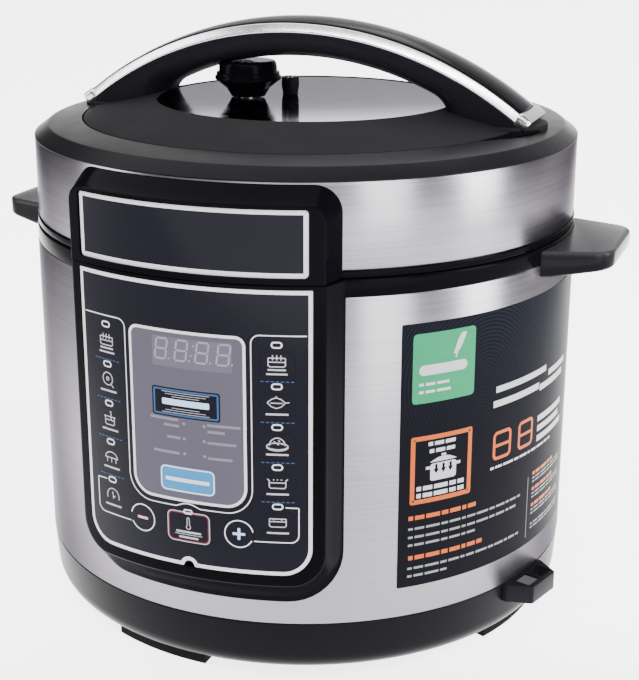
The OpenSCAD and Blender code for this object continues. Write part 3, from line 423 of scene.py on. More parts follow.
def make_finishes():
    FINISHES.update(
        black_plastic=moulded("black plastic", (0.007, 0.0065, 0.009), 0.34, gleam=0.04),
        gloss_black=glossy("gloss black", (0.002, 0.002, 0.003), 0.09, 0.016),
        # the side handles' upper face carries a painted highlight, lighter as if lit from above
        handle_black=lit_on_top("handle black", (0.003, 0.003, 0.004), (0.030, 0.029, 0.033), 0.2000, 0.2028),
        base_black=moulded("base black", (0.003, 0.003, 0.004), 0.30, 1000.0, 0.00002, gleam=0.04),
        gloss_cover=glossy("gloss cover", (0.003, 0.003, 0.004), 0.14, 0.06),
        # painted highlight for the spoon holder's seat, as if lit from above
        rest_pad=moulded("seat highlight", (0.085, 0.080, 0.088), 0.30, 1200.0, 0.00001, gleam=0.2),
        satin_black=moulded("satin black", (0.006, 0.0057, 0.007), 0.32, 1500.0, 0.00002, gleam=0.06),
        matte_black=moulded("matte black", (0.008, 0.0078, 0.009), 0.60, 700.0, 0.00007, gleam=0.05),
        rubber=moulded("rubber", (0.004, 0.004, 0.004), 0.75, 1300.0, 0.00005, gleam=0.03),
        steel_brushed=brushed("brushed steel", (0.295, 0.282, 0.302), 0.30),
        chrome=polished("chrome", (0.80, 0.80, 0.82), 0.20),
        mirror_disc=polished("mirror disc", (0.42, 0.41, 0.44), 0.07),
        steel_inner=spun("spun steel", (0.60, 0.60, 0.60), 0.30),
        aluminium=spun("aluminium", (0.70, 0.70, 0.71), 0.42),
        pot_coating=moulded("pot coating", (0.030, 0.031, 0.034), 0.40, 2200.0, 0.00003),
        silicone=moulded("silicone", (0.62, 0.62, 0.59), 0.50, 500.0, 0.00002, Subsurface_Weight=0.1),
        panel_film=glossy("panel film", (0.005, 0.0045, 0.009), 0.10, 0.075),
        display_smoke=glossy("display smoke", (0.080, 0.074, 0.098), 0.16),
        label_film=label_finish(),
        circuit_board=moulded("circuit board", (0.02, 0.12, 0.05), 0.40, 1200.0, 0.00002),
        dark_component=moulded("component", (0.03, 0.03, 0.035), 0.45),
        cup_smoke=smoked("smoked cup", (0.20, 0.20, 0.23)),
        white_ink=ink("white ink", (0.64, 0.63, 0.67)),
        sign_ink=ink("sign ink", (0.40, 0.39, 0.43)),
        grey_ink=ink("grey ink", (0.30, 0.30, 0.34)),
        blue_ink=ink("blue ink", (0.028, 0.075, 0.18)),
        pale_ink=ink("pale blue ink", (0.45, 0.62, 0.85)),
        key_blue=ink("sky blue key", (0.035, 0.20, 0.42), 0.25),
        pink_ink=ink("pink ink", (0.75, 0.35, 0.38)),
        red_ink=ink("red ink", (0.13, 0.014, 0.02)),
        orange_ink=ink("orange ink", (0.42, 0.085, 0.018)),
        green_ink=ink("green ink", (0.018, 0.21, 0.095)),
        label_white=ink("label white", (0.42, 0.42, 0.44)),
        label_grey=ink("label grey", (0.19, 0.19, 0.205)),
        ghost_ink=ink("ghost ink", (0.23, 0.22, 0.27)),
        patch_ink=ink("display patch ink", (0.102, 0.095, 0.121)),
        faint_ink=ink("faint ink", (0.170, 0.160, 0.195)),
    )


def label_finish():
    """Charcoal foil with faint blue rings in its upper half."""
    finish = Finish("label film", (0.006, 0.006, 0.008), 0.45, Specular_IOR_Level=0.01)
    x, y, z = finish.axes()
    across = (y.arctan(x) + 0.55) * 0.142
    up = z - 0.150
    ring = (((across * across + up * up) ** 0.5) * 3300.0).sine().ramp(0.2, 1.0)
    fade = z.ramp(0.105, 0.175)
    finish.set("Base Color", finish.mix(ring * fade * 0.5, (0.006, 0.006, 0.008), (0.011, 0.017, 0.032)))
    finish.set("Roughness", finish.noise(40.0, 3.0) * 0.12 + 0.25)
    finish.set("Normal", finish.bump(finish.noise(30.0, 2.0), 0.0001, 0.2))
    return finish.material


def smoked(name, colour):
    """Smoked transparent plastic."""
    finish = Finish(name, colour, 0.12, Transmission_Weight=0.75, IOR=1.49)
    finish.set("Roughness", finish.noise(50.0, 3.0) * 0.1 + 0.08)
    finish.set("Normal", finish.bump(finish.noise(60.0, 1.0), 0.00008, 0.3))
    return finish.material


# ---- Mesh building ----

FINE_TURN = 256
CUT_FRONT = -0.16
CUT_BACK = -0.12
SCREW_CIRCLE = 0.08
LUG_HALF = math.radians(10)
LUG_REACH = 0.0057


def arc_points(x, y, r, first, last, steps):
    turns = [first + (last - first) * i / steps for i in range(steps + 1)]
    return [(x + r * math.cos(a), y + r * math.sin(a)) for a in turns]


def circle(x, y, r, steps):
    return arc_points(x, y, r, 0, 2 * math.pi * (steps - 1) / steps, steps - 1)


def filleted(corners, steps=5):
    """Closed outline of (x, y, radius) corners, each rounded by its radius."""
    points = []
    for i, (x, y, r) in enumerate(corners):
        if r <= 0.0:
            points.append((x, y))
            continue
        here = Vector((x, y))
        before = Vector(corners[i - 1][:2]) - here
        after = Vector(corners[(i + 1) % len(corners)][:2]) - here
        half = before.angle(after) / 2
        reach = min(r / math.tan(half), before.length * 0.49, after.length * 0.49)
        radius = reach * math.tan(half)
        middle = (before.normalized() + after.normalized()).normalized()
        centre = here + middle * (radius / math.sin(half))
        start = here + before.normalized() * reach - centre
        end = here + after.normalized() * reach - centre
        a = math.atan2(start.y, start.x)
        turn = (math.atan2(end.y, end.x) - a + math.pi) % (2 * math.pi) - math.pi
        points += arc_points(centre.x, centre.y, radius, a, a + turn, steps)
    return points


def rectangle(w, h, r, x, y):
    """Rounded rectangle about (x, y)."""
    corners = [(w / 2, -h / 2, r), (w / 2, h / 2, r), (-w / 2, h / 2, r), (-w / 2, -h / 2, r)]
    return [(x + px, y + py) for px, py in filleted(corners)]


def on_drum(turn, r, z):
    """Point at an angle from the front, on a radius."""
    return (r * math.sin(turn), -r * math.cos(turn), z)


def columns_of(x, z, w, h, low_corner, high_corner=None):
    """Rounded rectangle about (x, z) as (across, low, high) columns."""
    high_corner = low_corner if high_corner is None else high_corner
    corner = max(low_corner, high_corner)
    steps = [math.radians(15 * i) for i in range(7)] if corner > 0.0 else [math.pi / 2]
    edge = [corner * (1 - math.cos(a)) for a in steps]
    n = max(2, int((w - 2 * corner) / 0.003))
    edge += [corner + (w - 2 * corner) * i / n for i in range(1, n)]
    edge += [w - e for e in reversed([corner * (1 - math.cos(a)) for a in steps])]
    if corner <= 0.0:
        edge = [w * i / n for i in range(n + 1)]
    columns = []
    for e in edge:
        inset = min(e, w - e)
        low, high = [
            c - math.sqrt(max(0.0, c * c - max(0.0, c - inset) ** 2)) for c in (low_corner, high_corner)
        ]
        columns.append((x - w / 2 + e, z - h / 2 + low, z + h / 2 - high))
    return columns


def screw_places():
    """Centres of the four screws of the base."""
    turns = [math.radians(15 + 90 * k) for k in range(4)]
    return [(SCREW_CIRCLE * math.cos(a), SCREW_CIRCLE * math.sin(a)) for a in turns]


def lug_turns():
    """First and last angle of each of the eight bayonet lugs."""
    middles = [math.radians(90 + 45 * k) for k in range(8)]
    return [(a - LUG_HALF, a + LUG_HALF) for a in middles]


class Form:
    """Vertices and faces of a piece under construction, with flat work wrapped on a drum about the axis.

    Across is measured round the drum from the angle turn,
    or straight across the front where turn is None.
    """

    def __init__(self, turn=0.0):
        self.verts = []
        self.faces = []
        self.inks = []
        self.tint = 0
        self.turn = turn

    def at(self, across, r, z):
        if self.turn is None:
            return (across, -math.sqrt(r * r - across * across), z)
        return on_drum(self.turn + across / r, r, z)

    def face(self, *corners):
        self.faces.append(corners)
        self.inks.append(self.tint)

    def loft(self, loops, closed=False, caps=True):
        """Skin over closed loops that have the same number of points."""
        start = len(self.verts)
        n = len(loops[0])
        for loop in loops:
            self.verts += [tuple(p) for p in loop]
        for j in range(len(loops) - (0 if closed else 1)):
            a = start + j * n
            b = start + (j + 1) % len(loops) * n
            for i in range(n):
                k = (i + 1) % n
                self.face(a + i, a + k, b + k, b + i)
        if caps and not closed:
            last = start + (len(loops) - 1) * n
            self.face(*[start + i for i in reversed(range(n))])
            self.face(*[last + i for i in range(n)])
        return self

    def turned(self, outline, x=0.0, y=0.0, steps=192):
        """Solid of revolution of a closed (radius, height) outline."""
        loops = []
        for j in range(steps):
            a = 2 * math.pi * j / steps
            loops.append([(x + r * math.cos(a), y + r * math.sin(a), z) for r, z in outline])
        return self.loft(loops, closed=True)

    def swung(self, outline, first, last, steps=24):
        """Part turn of a closed (radius, height) outline, angles taken from the front."""
        loops = []
        for j in range(steps + 1):
            a = first + (last - first) * j / steps
            loops.append([on_drum(a, r, z) for r, z in outline])
        return self.loft(loops)

    def upright(self, outline, low, high):
        """Outline in plan, raised from one height to another."""
        return self.loft([[(x, y, low) for x, y in outline], [(x, y, high) for x, y in outline]])

    def through(self, outline, front, back):
        """Outline seen from the front, run from one depth to another."""
        return self.loft([[(x, front, z) for x, z in outline], [(x, back, z) for x, z in outline]])

    def block(self, low, high):
        (x0, y0, z0), (x1, y1, z1) = low, high
        return self.upright([(x0, y0), (x1, y0), (x1, y1), (x0, y1)], z0, z1)

    def tablet(self, columns, r_in, r_out):
        """Curved plate of (across, low, high) columns between two radii."""
        return self.loft([
            [self.at(u, r_in, low), self.at(u, r_out, low), self.at(u, r_out, high), self.at(u, r_in, high)]
            for u, low, high in columns
        ])

    def area(self, columns, r):
        """Ink between two edges."""
        start = len(self.verts)
        for u, low, high in columns:
            self.verts += [self.at(u, r, low), self.at(u, r, high)]
        for i in range(len(columns) - 1):
            a = start + 2 * i
            self.face(a, a + 2, a + 3, a + 1)
        return self

    def bar(self, x, z, w, h, r, corner=0.0):
        """Rounded bar of ink about (x, z)."""
        return self.area(columns_of(x, z, w, h, min(corner, w / 2, h / 2)), r)

    def line(self, points, width, r, closed=False):
        """Ink line of even width along (across, height) points."""
        points = list(points)
        path = []
        pairs = list(zip(points, points[1:] + points[:1])) if closed else list(zip(points, points[1:]))
        for (x0, z0), (x1, z1) in pairs:
            n = max(1, math.ceil(abs(x1 - x0) / 0.002))
            path += [(x0 + (x1 - x0) * i / n, z0 + (z1 - z0) * i / n) for i in range(n)]
        if not closed:
            path.append(points[-1])
        start = len(self.verts)
        total = len(path)
        for i, p in enumerate(path):
            before = path[i - 1] if i or closed else p
            after = path[(i + 1) % total] if i < total - 1 or closed else p
            one = Vector((p[0] - before[0], p[1] - before[1]))
            two = Vector((after[0] - p[0], after[1] - p[1]))
            one = one.normalized() if one.length > 1e-9 else two.normalized()
            two = two.normalized() if two.length > 1e-9 else one
            way = (one + two).normalized() if (one + two).length > 1e-6 else one
            spread = width / 2 / max(0.4, way.dot(one))
            side = Vector((-way.y, way.x)) * spread
            for s in (-1, 1):
                self.verts.append(self.at(p[0] + s * side.x, r, p[1] + s * side.y))
        for i in range(total if closed else total - 1):
            a = start + 2 * i
            b = start + 2 * ((i + 1) % total)
            self.face(a, b, b + 1, a + 1)
        return self

    def frame(self, x, z, w, h, corner, width, r):
        """Outline of a rounded rectangle, its line inside the given size."""
        path = rectangle(w - width, h - width, max(0.0, corner - width / 2), x, z)
        return self.line(path, width, r, closed=True)


def cleaned(form, sheet):
    mesh = bpy.data.meshes.new("form")
    mesh.from_pydata(form.verts, [], form.faces)
    mesh.polygons.foreach_set("material_index", form.inks)
    work = bmesh.new()
    work.from_mesh(mesh)
    if not sheet:
        bmesh.ops.remove_doubles(work, verts=work.verts, dist=1e-7)
        bmesh.ops.recalc_face_normals(work, faces=work.faces)
    work.to_mesh(mesh)
    work.free()
    return mesh


def soften(mesh, limit):
    """Smooth shading, with sharp edges where faces meet steeply."""
    work = bmesh.new()
    work.from_mesh(mesh)
    for face in work.faces:
        face.smooth = True
    for edge in work.edges:
        edge.smooth = not (len(edge.link_faces) == 2 and edge.calc_face_angle(0.0) > math.radians(limit))
    work.to_mesh(mesh)
    work.free()


def made(name, form, sheet=False):
    obj = bpy.data.objects.new(name, cleaned(form, sheet))
    bpy.context.scene.collection.objects.link(obj)
    return obj


def settled(obj):
    """Applies the modifiers of an object."""
    bpy.context.view_layer.update()
    graph = bpy.context.evaluated_depsgraph_get()
    mesh = bpy.data.meshes.new_from_object(obj.evaluated_get(graph))
    obj.modifiers.clear()
    obj.data = mesh


def cut(obj, form):
    """Cuts a form out of an object."""
    cutter = made("cutter", form)
    modifier = obj.modifiers.new("cut", "BOOLEAN")
    modifier.operation = "DIFFERENCE"
    modifier.solver = "EXACT"
    modifier.object = cutter
    settled(obj)
    bpy.data.objects.remove(cutter)
    return obj


def rounded_edges(obj, width, segments=3, limit=35.0):
    modifier = obj.modifiers.new("edges", "BEVEL")
    modifier.width = width
    modifier.segments = segments
    modifier.limit_method = "ANGLE"
    modifier.angle_limit = math.radians(limit)
    modifier.harden_normals = False
    settled(obj)
    return obj


def seat(obj, body, slot, finishes=None, replaces=(), limit=30.0):
    """Gives a piece its finishes, by default that of its slot, and puts it on its body."""
    soften(obj.data, limit)
    for name in finishes or [slot]:
        obj.data.materials.append(FINISHES[name])
    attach(obj, body)
    if replaces:
        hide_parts(*replaces)
    return obj


def turned_piece(name, outline, body, slot, replaces, finishes=None, steps=192):
    return seat(made(name, Form().turned(outline, steps=steps)), body, slot, finishes, replaces)


# ---- Body ----


class COOKER_OT_body(bpy.types.Operator):
    """Steel shell, base, collar and feet"""

    bl_idname = "cooker.body"
    bl_label = "Body"

    def execute(self, context):
        b = context.scene.cooker_body
        r = b.shell_r
        t = b.steel_t
        edge = 0.0004
        shell = filleted([
            (r - t, b.base_top, 0), (r - edge, b.base_top, 0), (r, b.base_top + 2 * edge, 0),
            (r, b.shell_top - 2 * edge, 0), (r - edge, b.shell_top, 0), (r - t, b.shell_top, 0),
        ])
        turned_piece("steel_body", shell, "housing", "steel_brushed", ["outer_shell"], steps=FINE_TURN)

        floor = b.foot_h + 0.003
        inner = r - b.base_draft - b.wall
        tongue = r - 0.0012
        rim = b.base_top + 0.004
        hole = 0.008
        base = filleted([
            (hole, b.foot_h, 0), (r - b.base_draft, b.foot_h, b.base_round),
            (r - 0.0002, b.base_top - 0.0004, 0.0006), (tongue, b.base_top + 0.0001, 0), (tongue, rim, 0),
            (inner, rim, 0), (inner, floor, b.base_round - b.wall), (hole, floor, 0),
        ], 12)
        obj = made("base_shell", Form().turned(base, steps=FINE_TURN))
        vents = Form()
        slit = 0.024
        for k in range(12):
            for near in (0.030, 0.096):
                a = math.radians(30 * k)
                along = Vector((math.cos(a), math.sin(a)))
                side = Vector((-along.y, along.x)) * 0.002
                plan = [along * near - side, along * (near + slit) - side]
                plan += [along * (near + slit) + side, along * near + side]
                vents.upright([tuple(p) for p in plan], 0.0, floor + 0.002)
        for x, y in screw_places():
            vents.upright(circle(x, y, 0.0046, 24), 0, 0.007)
        vents.block((-0.0171, r - 0.016, 0.0084), (0.0171, r + 0.02, 0.0256))
        cut(obj, vents)
        seat(obj, "housing", "black_plastic", ["base_black"], ["base_housing"])

        hub = Form().turned([
            (0.0046, 0.005), (0.009, 0.006), (0.009, 0.012), (0.0066, 0.012), (0.0066, 0.0094),
            (0.0046, 0.0094),
        ], steps=64)
        for x, y in screw_places():
            hub.turned([(0.0022, 0.006), (0.006, 0.006), (0.006, 0.020), (0.0022, 0.020)], x, y, 48)
        for y in (-0.03, 0.03):
            hub.block((-0.130, y - 0.004, 0.008), (-0.122, y + 0.004, 0.054))
        seat(made("base_posts", hub), "housing", "black_plastic")

        inside = b.ring_out - 0.004
        trough_in = b.ring_out + 0.003
        bed = b.shell_top + b.wall
        top = b.collar_top
        collar = filleted([
            (inside, b.shell_top, 0), (r - 0.0001, b.shell_top + 0.0001, 0.0006), (r, top, 0.0016),
            (r - b.wall, top, 0.0005), (r - b.wall, bed, 0.001), (trough_in, bed, 0.001),
            (trough_in, top - 0.0016, 0.0005), (inside, top - 0.0016, 0.0005),
        ])
        obj = made("black_collar", Form().turned(collar, steps=FINE_TURN))
        cut(obj, Form().block((-0.006, trough_in + 0.001, bed), (0.006, r + 0.02, bed + 0.003)))
        seat(obj, "housing", "gloss_black", replaces=["upper_collar"])
        block = Form().block((-0.009, r - 0.001, b.shell_top), (0.009, r + 0.012, b.shell_top + 0.007))
        spout = made("collar_spout", block)
        rounded_edges(spout, 0.0008)
        cut(spout, Form().block((-0.006, r - 0.01, bed), (0.006, r + 0.009, b.shell_top + 0.0055)))
        cut(spout, Form().upright(circle(0, r + 0.0075, 0.0024, 16), 0.19, 0.2))
        seat(spout, "housing", "gloss_black")

        top = b.foot_h + 0.0002
        foot = filleted(
            [(b.foot_in, 0.0, 0.0008), (b.foot_out, 0.0, 0.0008), (b.foot_out, top, 0), (b.foot_in, top, 0)]
        )
        feet = Form()
        for k in range(4):
            a = b.foot_turn + math.radians(90 * k)
            feet.swung(foot, a - b.foot_span / 2, a + b.foot_span / 2, 20)
        seat(made("foot_pads", feet), "housing", "rubber", replaces=["rubber_feet"])
        return {"FINISHED"}


class COOKER_OT_side_handles(bpy.types.Operator):
    """Side handles, hollow below"""

    bl_idname = "cooker.side_handles"
    bl_label = "Side Handles"

    def execute(self, context):
        b = context.scene.cooker_body
        h = context.scene.cooker_handles
        low = h.side_top - h.side_t
        for side, word in ((1, "right"), (-1, "left")):
            name = "side_handle_" + word
            near, far = side * (b.shell_r - 0.009), side * h.side_reach
            plan = filleted([
                (near, -h.side_root, 0), (far, -h.side_tip, h.side_corner),
                (far, h.side_tip, h.side_corner), (near, h.side_root, 0),
            ], 10)
            obj = made(name + "_shell", Form().upright(plan, low, h.side_top))
            near, far = side * (b.shell_r - 0.001), side * (h.side_reach + 0.011)
            wedge = [
                (near, low - 0.001), (far, low - 0.001), (far, low + h.side_taper * 1.4), (near, low)
            ]
            cut(obj, Form().through(wedge, -0.05, 0.05))
            rounded_edges(obj, 0.0016, 4, 50)
            cut(obj, Form().upright(circle(0, 0, b.shell_r + 0.0001, 192), 0.1, 0.3))
            near, far = side * (b.shell_r + 0.003), side * (h.side_reach - 0.003)
            root, tip = h.side_root - 0.0068, h.side_tip - 0.003
            hollow = filleted(
                [(near, -root, 0.001), (far, -tip, 0.009), (far, tip, 0.009), (near, root, 0.001)], 8
            )
            cut(obj, Form().upright(hollow, low - 0.002, h.side_top - 0.0025))
            seat(obj, "housing", "black_plastic", ["handle_black"], [name])
            ribs = Form()
            near, far = sorted((side * (b.shell_r + 0.001), side * (h.side_reach - 0.002)))
            for y in (-0.009, 0.009):
                ribs.block(
                    (near, y - 0.0009, low + h.side_taper + 0.0006), (far, y + 0.0009, h.side_top - 0.002)
                )
            seat(made(name + "_ribs", ribs), "housing", "black_plastic")
        return {"FINISHED"}


# ---- Lid ----


class COOKER_OT_lid(bpy.types.Operator):
    """Steel band, outer ring, matte cover, centre disc and skirt of the lid"""

    bl_idname = "cooker.lid"
    bl_label = "Lid"

    def execute(self, context):
        b = context.scene.cooker_body
        d = context.scene.cooker_lid
        h = context.scene.cooker_handles
        r = d.band_r
        t = b.steel_t
        edge = 0.0004
        band = [
            (r - t, d.band_low), (r - edge, d.band_low), (r, d.band_low + 2 * edge),
            (r, d.band_top - 2 * edge), (r - edge, d.band_top), (r - t, d.band_top),
        ]
        turned_piece("lid_steel_band", band, "lid", "steel_brushed", ["lid_band"], steps=FINE_TURN)

        drum = r - t - b.wall
        outside = r + 0.0001
        rim = d.band_top + d.chamfer_h
        step = d.cover_r + 0.0005
        ledge = d.cover_r - 0.016
        seat_z = d.cover_z - 0.0026
        under = d.cover_z - 0.0051
        ring = filleted([
            (drum, d.band_low, 0), (r - t, d.band_low, 0), (r - t, d.band_top, 0),
            (outside, d.band_top, 0.0003), (outside, d.band_top + 0.0006, 0.0006),
            (r - d.chamfer_w, rim, 0.0022), (step, d.cover_z, 0.0006), (step, seat_z, 0),
            (ledge, seat_z, 0), (ledge, under, 0), (r - d.chamfer_w - 0.001, under, 0),
            (drum, d.band_top - 0.002, 0),
        ])
        turned_piece("lid_ring", ring, "lid", "satin_black", ["lid_outer_ring"], steps=FINE_TURN)

        lip = d.disc_r + 0.0003
        lip_top = d.disc_z + 0.0004
        disc_low = d.disc_z - 0.004
        cover_low = d.disc_z - 0.006
        cover = filleted([
            (ledge, seat_z, 0), (d.cover_r, seat_z, 0), (d.cover_r, d.cover_z, 0.0006),
            (lip + 0.0008, lip_top, 0.0006), (lip, lip_top, 0.0002), (lip, disc_low, 0),
            (lip - 0.007, disc_low, 0), (lip - 0.007, cover_low, 0), (lip + 0.001, cover_low, 0),
        ])
        turned_piece(
            "lid_matte_cover", cover, "lid", "black_plastic", ["lid_cover"], ["matte_black"], FINE_TURN
        )

        near, far = [], []
        for i in range(41):
            a = math.radians(66 + 31 * i / 40)
            wide = 0.0004 + 0.0091 * abs(math.sin(math.pi * (i / 40) ** 1.6)) ** 0.8
            inner = d.cover_r + 0.0012
            near.append((inner * math.sin(a), -inner * math.cos(a)))
            far.append(((inner + wide) * math.sin(a), -(inner + wide) * math.cos(a)))
        inlay = Form().upright(far + near[::-1], d.cover_z - 0.0008, d.cover_z + 0.0002)
        seat(made("lid_rim_inlay", inlay), "lid", "gloss_black")
        for side, word in ((1, "right"), (-1, "left")):
            start = math.pi / 2 if side < 0 else -math.pi / 2
            plan = arc_points(side * h.ear_x, 0, h.ear_r, start, start + math.pi, 24)
            near = side * 0.088
            plan += [(near, side * h.ear_r), (near, -side * h.ear_r)]
            pad = made("handle_pad_" + word, Form().upright(plan, seat_z, h.ear_top))
            rounded_edges(pad, 0.0008, 3, 50)
            seat(pad, "lid", "black_plastic", ["matte_black"])

        disc = [(0.0, disc_low), (d.disc_r, disc_low), (d.disc_r, d.disc_z - 0.0003)]
        for i in range(33):
            reach = (d.disc_r - 0.0004) * (1 - i / 32)
            disc.append((reach, d.disc_z - d.dish * (1 - (reach / d.disc_r) ** 2)))
        obj = made("lid_centre_disc", Form().turned(disc, steps=FINE_TURN))
        holes = Form().upright(circle(d.pipe_x, 0, d.pipe_r + 0.0001, 48), 0.25, 0.27)
        holes.upright(circle(d.float_x, d.float_y, 0.003, 32), 0.25, 0.2618)
        holes.upright(circle(d.float_x, d.float_y, d.guard_r + 0.0001, 48), d.disc_z - 0.00197, 0.27)
        cut(obj, holes)
        seat(obj, "lid", "mirror_disc", replaces=["lid_top_disc"])

        inner = b.ring_out - 0.011
        outer = r + 0.0006
        skirt = filleted([
            (inner, d.skirt_low, 0), (outer, d.skirt_low, 0.0006), (outer, d.band_low, 0.0006),
            (inner, d.band_low, 0),
        ])
        form = Form().turned(skirt, steps=FINE_TURN)
        tongue_in, tongue_out, tongue_low = 0.1355, 0.1371, d.skirt_low - 0.004
        form.turned([
            (tongue_in, tongue_low), (tongue_out, tongue_low), (tongue_out, d.skirt_low),
            (tongue_in, d.skirt_low),
        ])
        seat(made("lid_lower_skirt", form), "lid", "gloss_black", replaces=["lid_skirt"])
        return {"FINISHED"}


class COOKER_OT_lid_fittings(bpy.types.Operator):
    """Regulator knob, steam pipe and the float's guard"""

    bl_idname = "cooker.lid_fittings"
    bl_label = "Lid Fittings"

    def execute(self, context):
        d = context.scene.cooker_lid
        z = d.disc_z
        bore = d.pipe_r + 0.0004
        low = z - 0.0008
        rim = z + 0.0082
        top = z + 0.0120
        cap = z + 0.0178
        r = d.knob_r
        knob = filleted([
            (bore, low, 0), (0.0092, low, 0.0005), (0.0094, low + 0.0008, 0.0006),
            (0.0118, z + 0.0036, 0.004), (r - 0.0003, rim, 0.0006), (r, rim + 0.001, 0.0005),
            (r - 0.0009, rim + 0.0022, 0.0004), (r - 0.001, top, 0.0006), (r - 0.0022, top, 0.0003),
            (r - 0.0024, top + 0.0030, 0.0010), (r - 0.0032, cap, 0.0018), (0.006, cap, 0.004),
            (0.0, cap, 0), (0.0, z + 0.0113, 0), (bore, z + 0.0113, 0),
        ])
        obj = made("pressure_knob", Form().turned(knob, d.pipe_x, 0.0, 96))
        x = d.pipe_x
        cut(
            obj, Form().block((x - 0.0008, 0.002 - r, cap - 0.0004), (x + 0.0008, 0.010 - r, cap + 0.001))
        )
        seat(obj, "knob", "gloss_black", replaces=["regulator_knob"])
        marks = Form()
        low = cap + 0.00002
        for row in range(2):
            y = -0.0060 - 0.0028 * row
            for k in range(3):
                x = d.pipe_x - 0.0044 + 0.0044 * k
                marks.block((x - 0.0013, y - 0.0005, low), (x + 0.0013, y + 0.0005, low + INK_LIFT))
        seat(made("knob_marks", marks), "knob", "panel_print", ["grey_ink"])

        low = d.liner_top - 0.008
        top = z + 0.011
        bore = 0.0018
        pipe = filleted(
            [(bore, low, 0), (d.pipe_r, low, 0.0005), (d.pipe_r, top, 0.0008), (bore, top, 0.0004)]
        )
        form = Form().turned(pipe, d.pipe_x, 0.0, 64)
        form.upright(circle(d.pipe_x, 0, 0.0085, 6), d.liner_top, d.liner_top + 0.003)
        seat(made("steam_outlet", form), "lid", "steel_inner", replaces=["steam_pipe"])

        g = d.guard_r
        foot = z - 0.00197
        top = z + 0.0075
        bore = 0.0029
        guard = filleted([
            (bore, foot, 0), (g - 0.0008, foot, 0.0001), (g, z + 0.002, 0.003), (g, top, 0.0012),
            (bore, top, 0.0004),
        ])
        x, y = d.float_x, d.float_y
        obj = made("float_collar", Form().turned(guard, x, y, 64))
        for wide, deep in ((0.0006, 0.01), (0.01, 0.0006)):
            cut(obj, Form().block((x - wide, y - deep, z + 0.0065), (x + wide, y + deep, z + 0.009)))
        seat(obj, "lid", "black_plastic", replaces=["float_guard"])
        return {"FINISHED"}


# ---- Arched handle ----


def on_arch(h, turn, reach, y):
    return (reach * math.sin(turn), y, h.arch_z + reach * math.cos(turn))


def along_arch(h, profile, end):
    """Loops of a (reach, y) profile along the arch, from one end to the other."""
    return [[on_arch(h, -end + 2 * end * i / 96, reach, y) for reach, y in profile] for i in range(97)]


def opening(h, base, spread):
    """Hand opening seen from the front, wider by a spread, from its right foot to its left foot."""
    r = h.open_r + spread
    x = h.open_foot + 1.1 * spread
    f = h.open_fillet + 0.5 * spread
    rise = math.sqrt((r - f) ** 2 - (x - f) ** 2)
    a = math.atan2(rise, x - f)
    points = [(x, base)]
    points += arc_points(x - f, h.open_z + rise, f, 0, a, 10)
    points += arc_points(0, h.open_z, r, a, math.pi - a, 48)[1:-1]
    points += arc_points(f - x, h.open_z + rise, f, math.pi - a, math.pi, 10)
    return points + [(-x, base)]


class COOKER_OT_arched_handle(bpy.types.Operator):
    """Arched lid handle with its gloss cover and chrome trim"""

    bl_idname = "cooker.arched_handle"
    bl_label = "Arched Handle"

    def execute(self, context):
        h = context.scene.cooker_handles
        end = h.arch_angle - h.cap_angle
        seat_r = h.arch_r - 0.0026
        base = h.ear_top - 0.008
        rows = []
        lanes = 28
        for j in range(lanes + 1):
            y = -math.cos(math.pi * j / lanes) * h.grip_half
            t = max(0.0, (abs(y) / h.grip_half - 0.15) / 0.85)
            spread = h.belly * (1 - math.sqrt(max(0.0, 1 - t * t)))
            shoulder = seat_r - (0.0006 if j in (0, lanes) else 0.0)
            row = [on_arch(h, -end + 2 * end * i / 48, shoulder, y) for i in range(49)]
            foot = math.sqrt(seat_r ** 2 - (base - h.arch_z) ** 2)
            row.append((foot, y, base))
            row += [(x, y, z) for x, z in opening(h, base, spread)]
            row.append((-foot, y, base))
            rows.append(row)
        grip = made("handle_grip", Form().loft(rows))
        lid = context.scene.cooker_lid
        relief = circle(lid.pipe_x, 0, lid.knob_r - 0.0008, 48)
        cut(grip, Form().upright(relief, lid.disc_z, lid.disc_z + 0.0186))
        seat(grip, "lid", "black_plastic", replaces=["handle_body"], limit=50)

        top = h.arch_r + h.trim_h / 2
        half = h.cover_half
        edge = 0.0006
        bend = (half ** 2 + h.crown ** 2) / (2 * h.crown)
        peak = top + h.crown - 0.0003
        shoulder = peak - bend + math.sqrt(bend ** 2 - half ** 2) - edge
        profile = [(seat_r, -half), (shoulder, -half)]
        for i in range(25):
            y = (-half + edge) + 2 * (half - edge) * i / 24
            profile.append((peak - bend + math.sqrt(bend ** 2 - y ** 2), y))
        profile += [(shoulder, half), (seat_r, half)]
        cover = made("handle_gloss_cover", Form().loft(along_arch(h, profile, end)))
        seat(cover, "lid", "gloss_black", ["gloss_cover"], ["handle_cover"], 60)

        trim = Form()
        strip = h.grip_half + 0.0003 - h.trim_w / 2
        trim_end = h.arch_angle - h.cap_angle / 2
        for s in (-1, 1):
            low, high = h.arch_r - 0.0005 - h.trim_h / 2, h.arch_r - 0.0008 + h.trim_h / 2
            inner, outer = s * (strip - h.trim_w / 2), s * (strip + h.trim_w / 2)
            bevel = [
                (low, inner, 0.0005), (low, outer, 0.0005), (low + 0.0010, outer, 0.0008),
                (high, outer - s * 0.0022, 0.0006), (high, inner, 0.0002),
            ]
            profile = filleted(bevel if s > 0 else bevel[::-1])
            trim.loft(along_arch(h, profile, trim_end))
        for s in (-1, 1):
            loops = []
            for i in range(9):
                t = i / 8
                shrink = 0.0009 * (1 - math.sqrt(max(0.0, 1 - (2 * abs(t - 0.5)) ** 6)))
                tall, wide = h.trim_h + 0.0024 - shrink, 2 * h.grip_half + 0.0012 - shrink
                profile = rectangle(tall, wide, 0.0024, h.arch_r - 0.0008, 0.0)
                turn = s * (h.arch_angle - h.cap_angle * (1 - t))
                loops.append([on_arch(h, turn, reach, y) for reach, y in profile])
            trim.loft(loops)
        seat(made("handle_chrome", trim), "lid", "chrome", replaces=["handle_trim"], limit=40)
        return {"FINISHED"}


# ---- Control panel and name plate ----


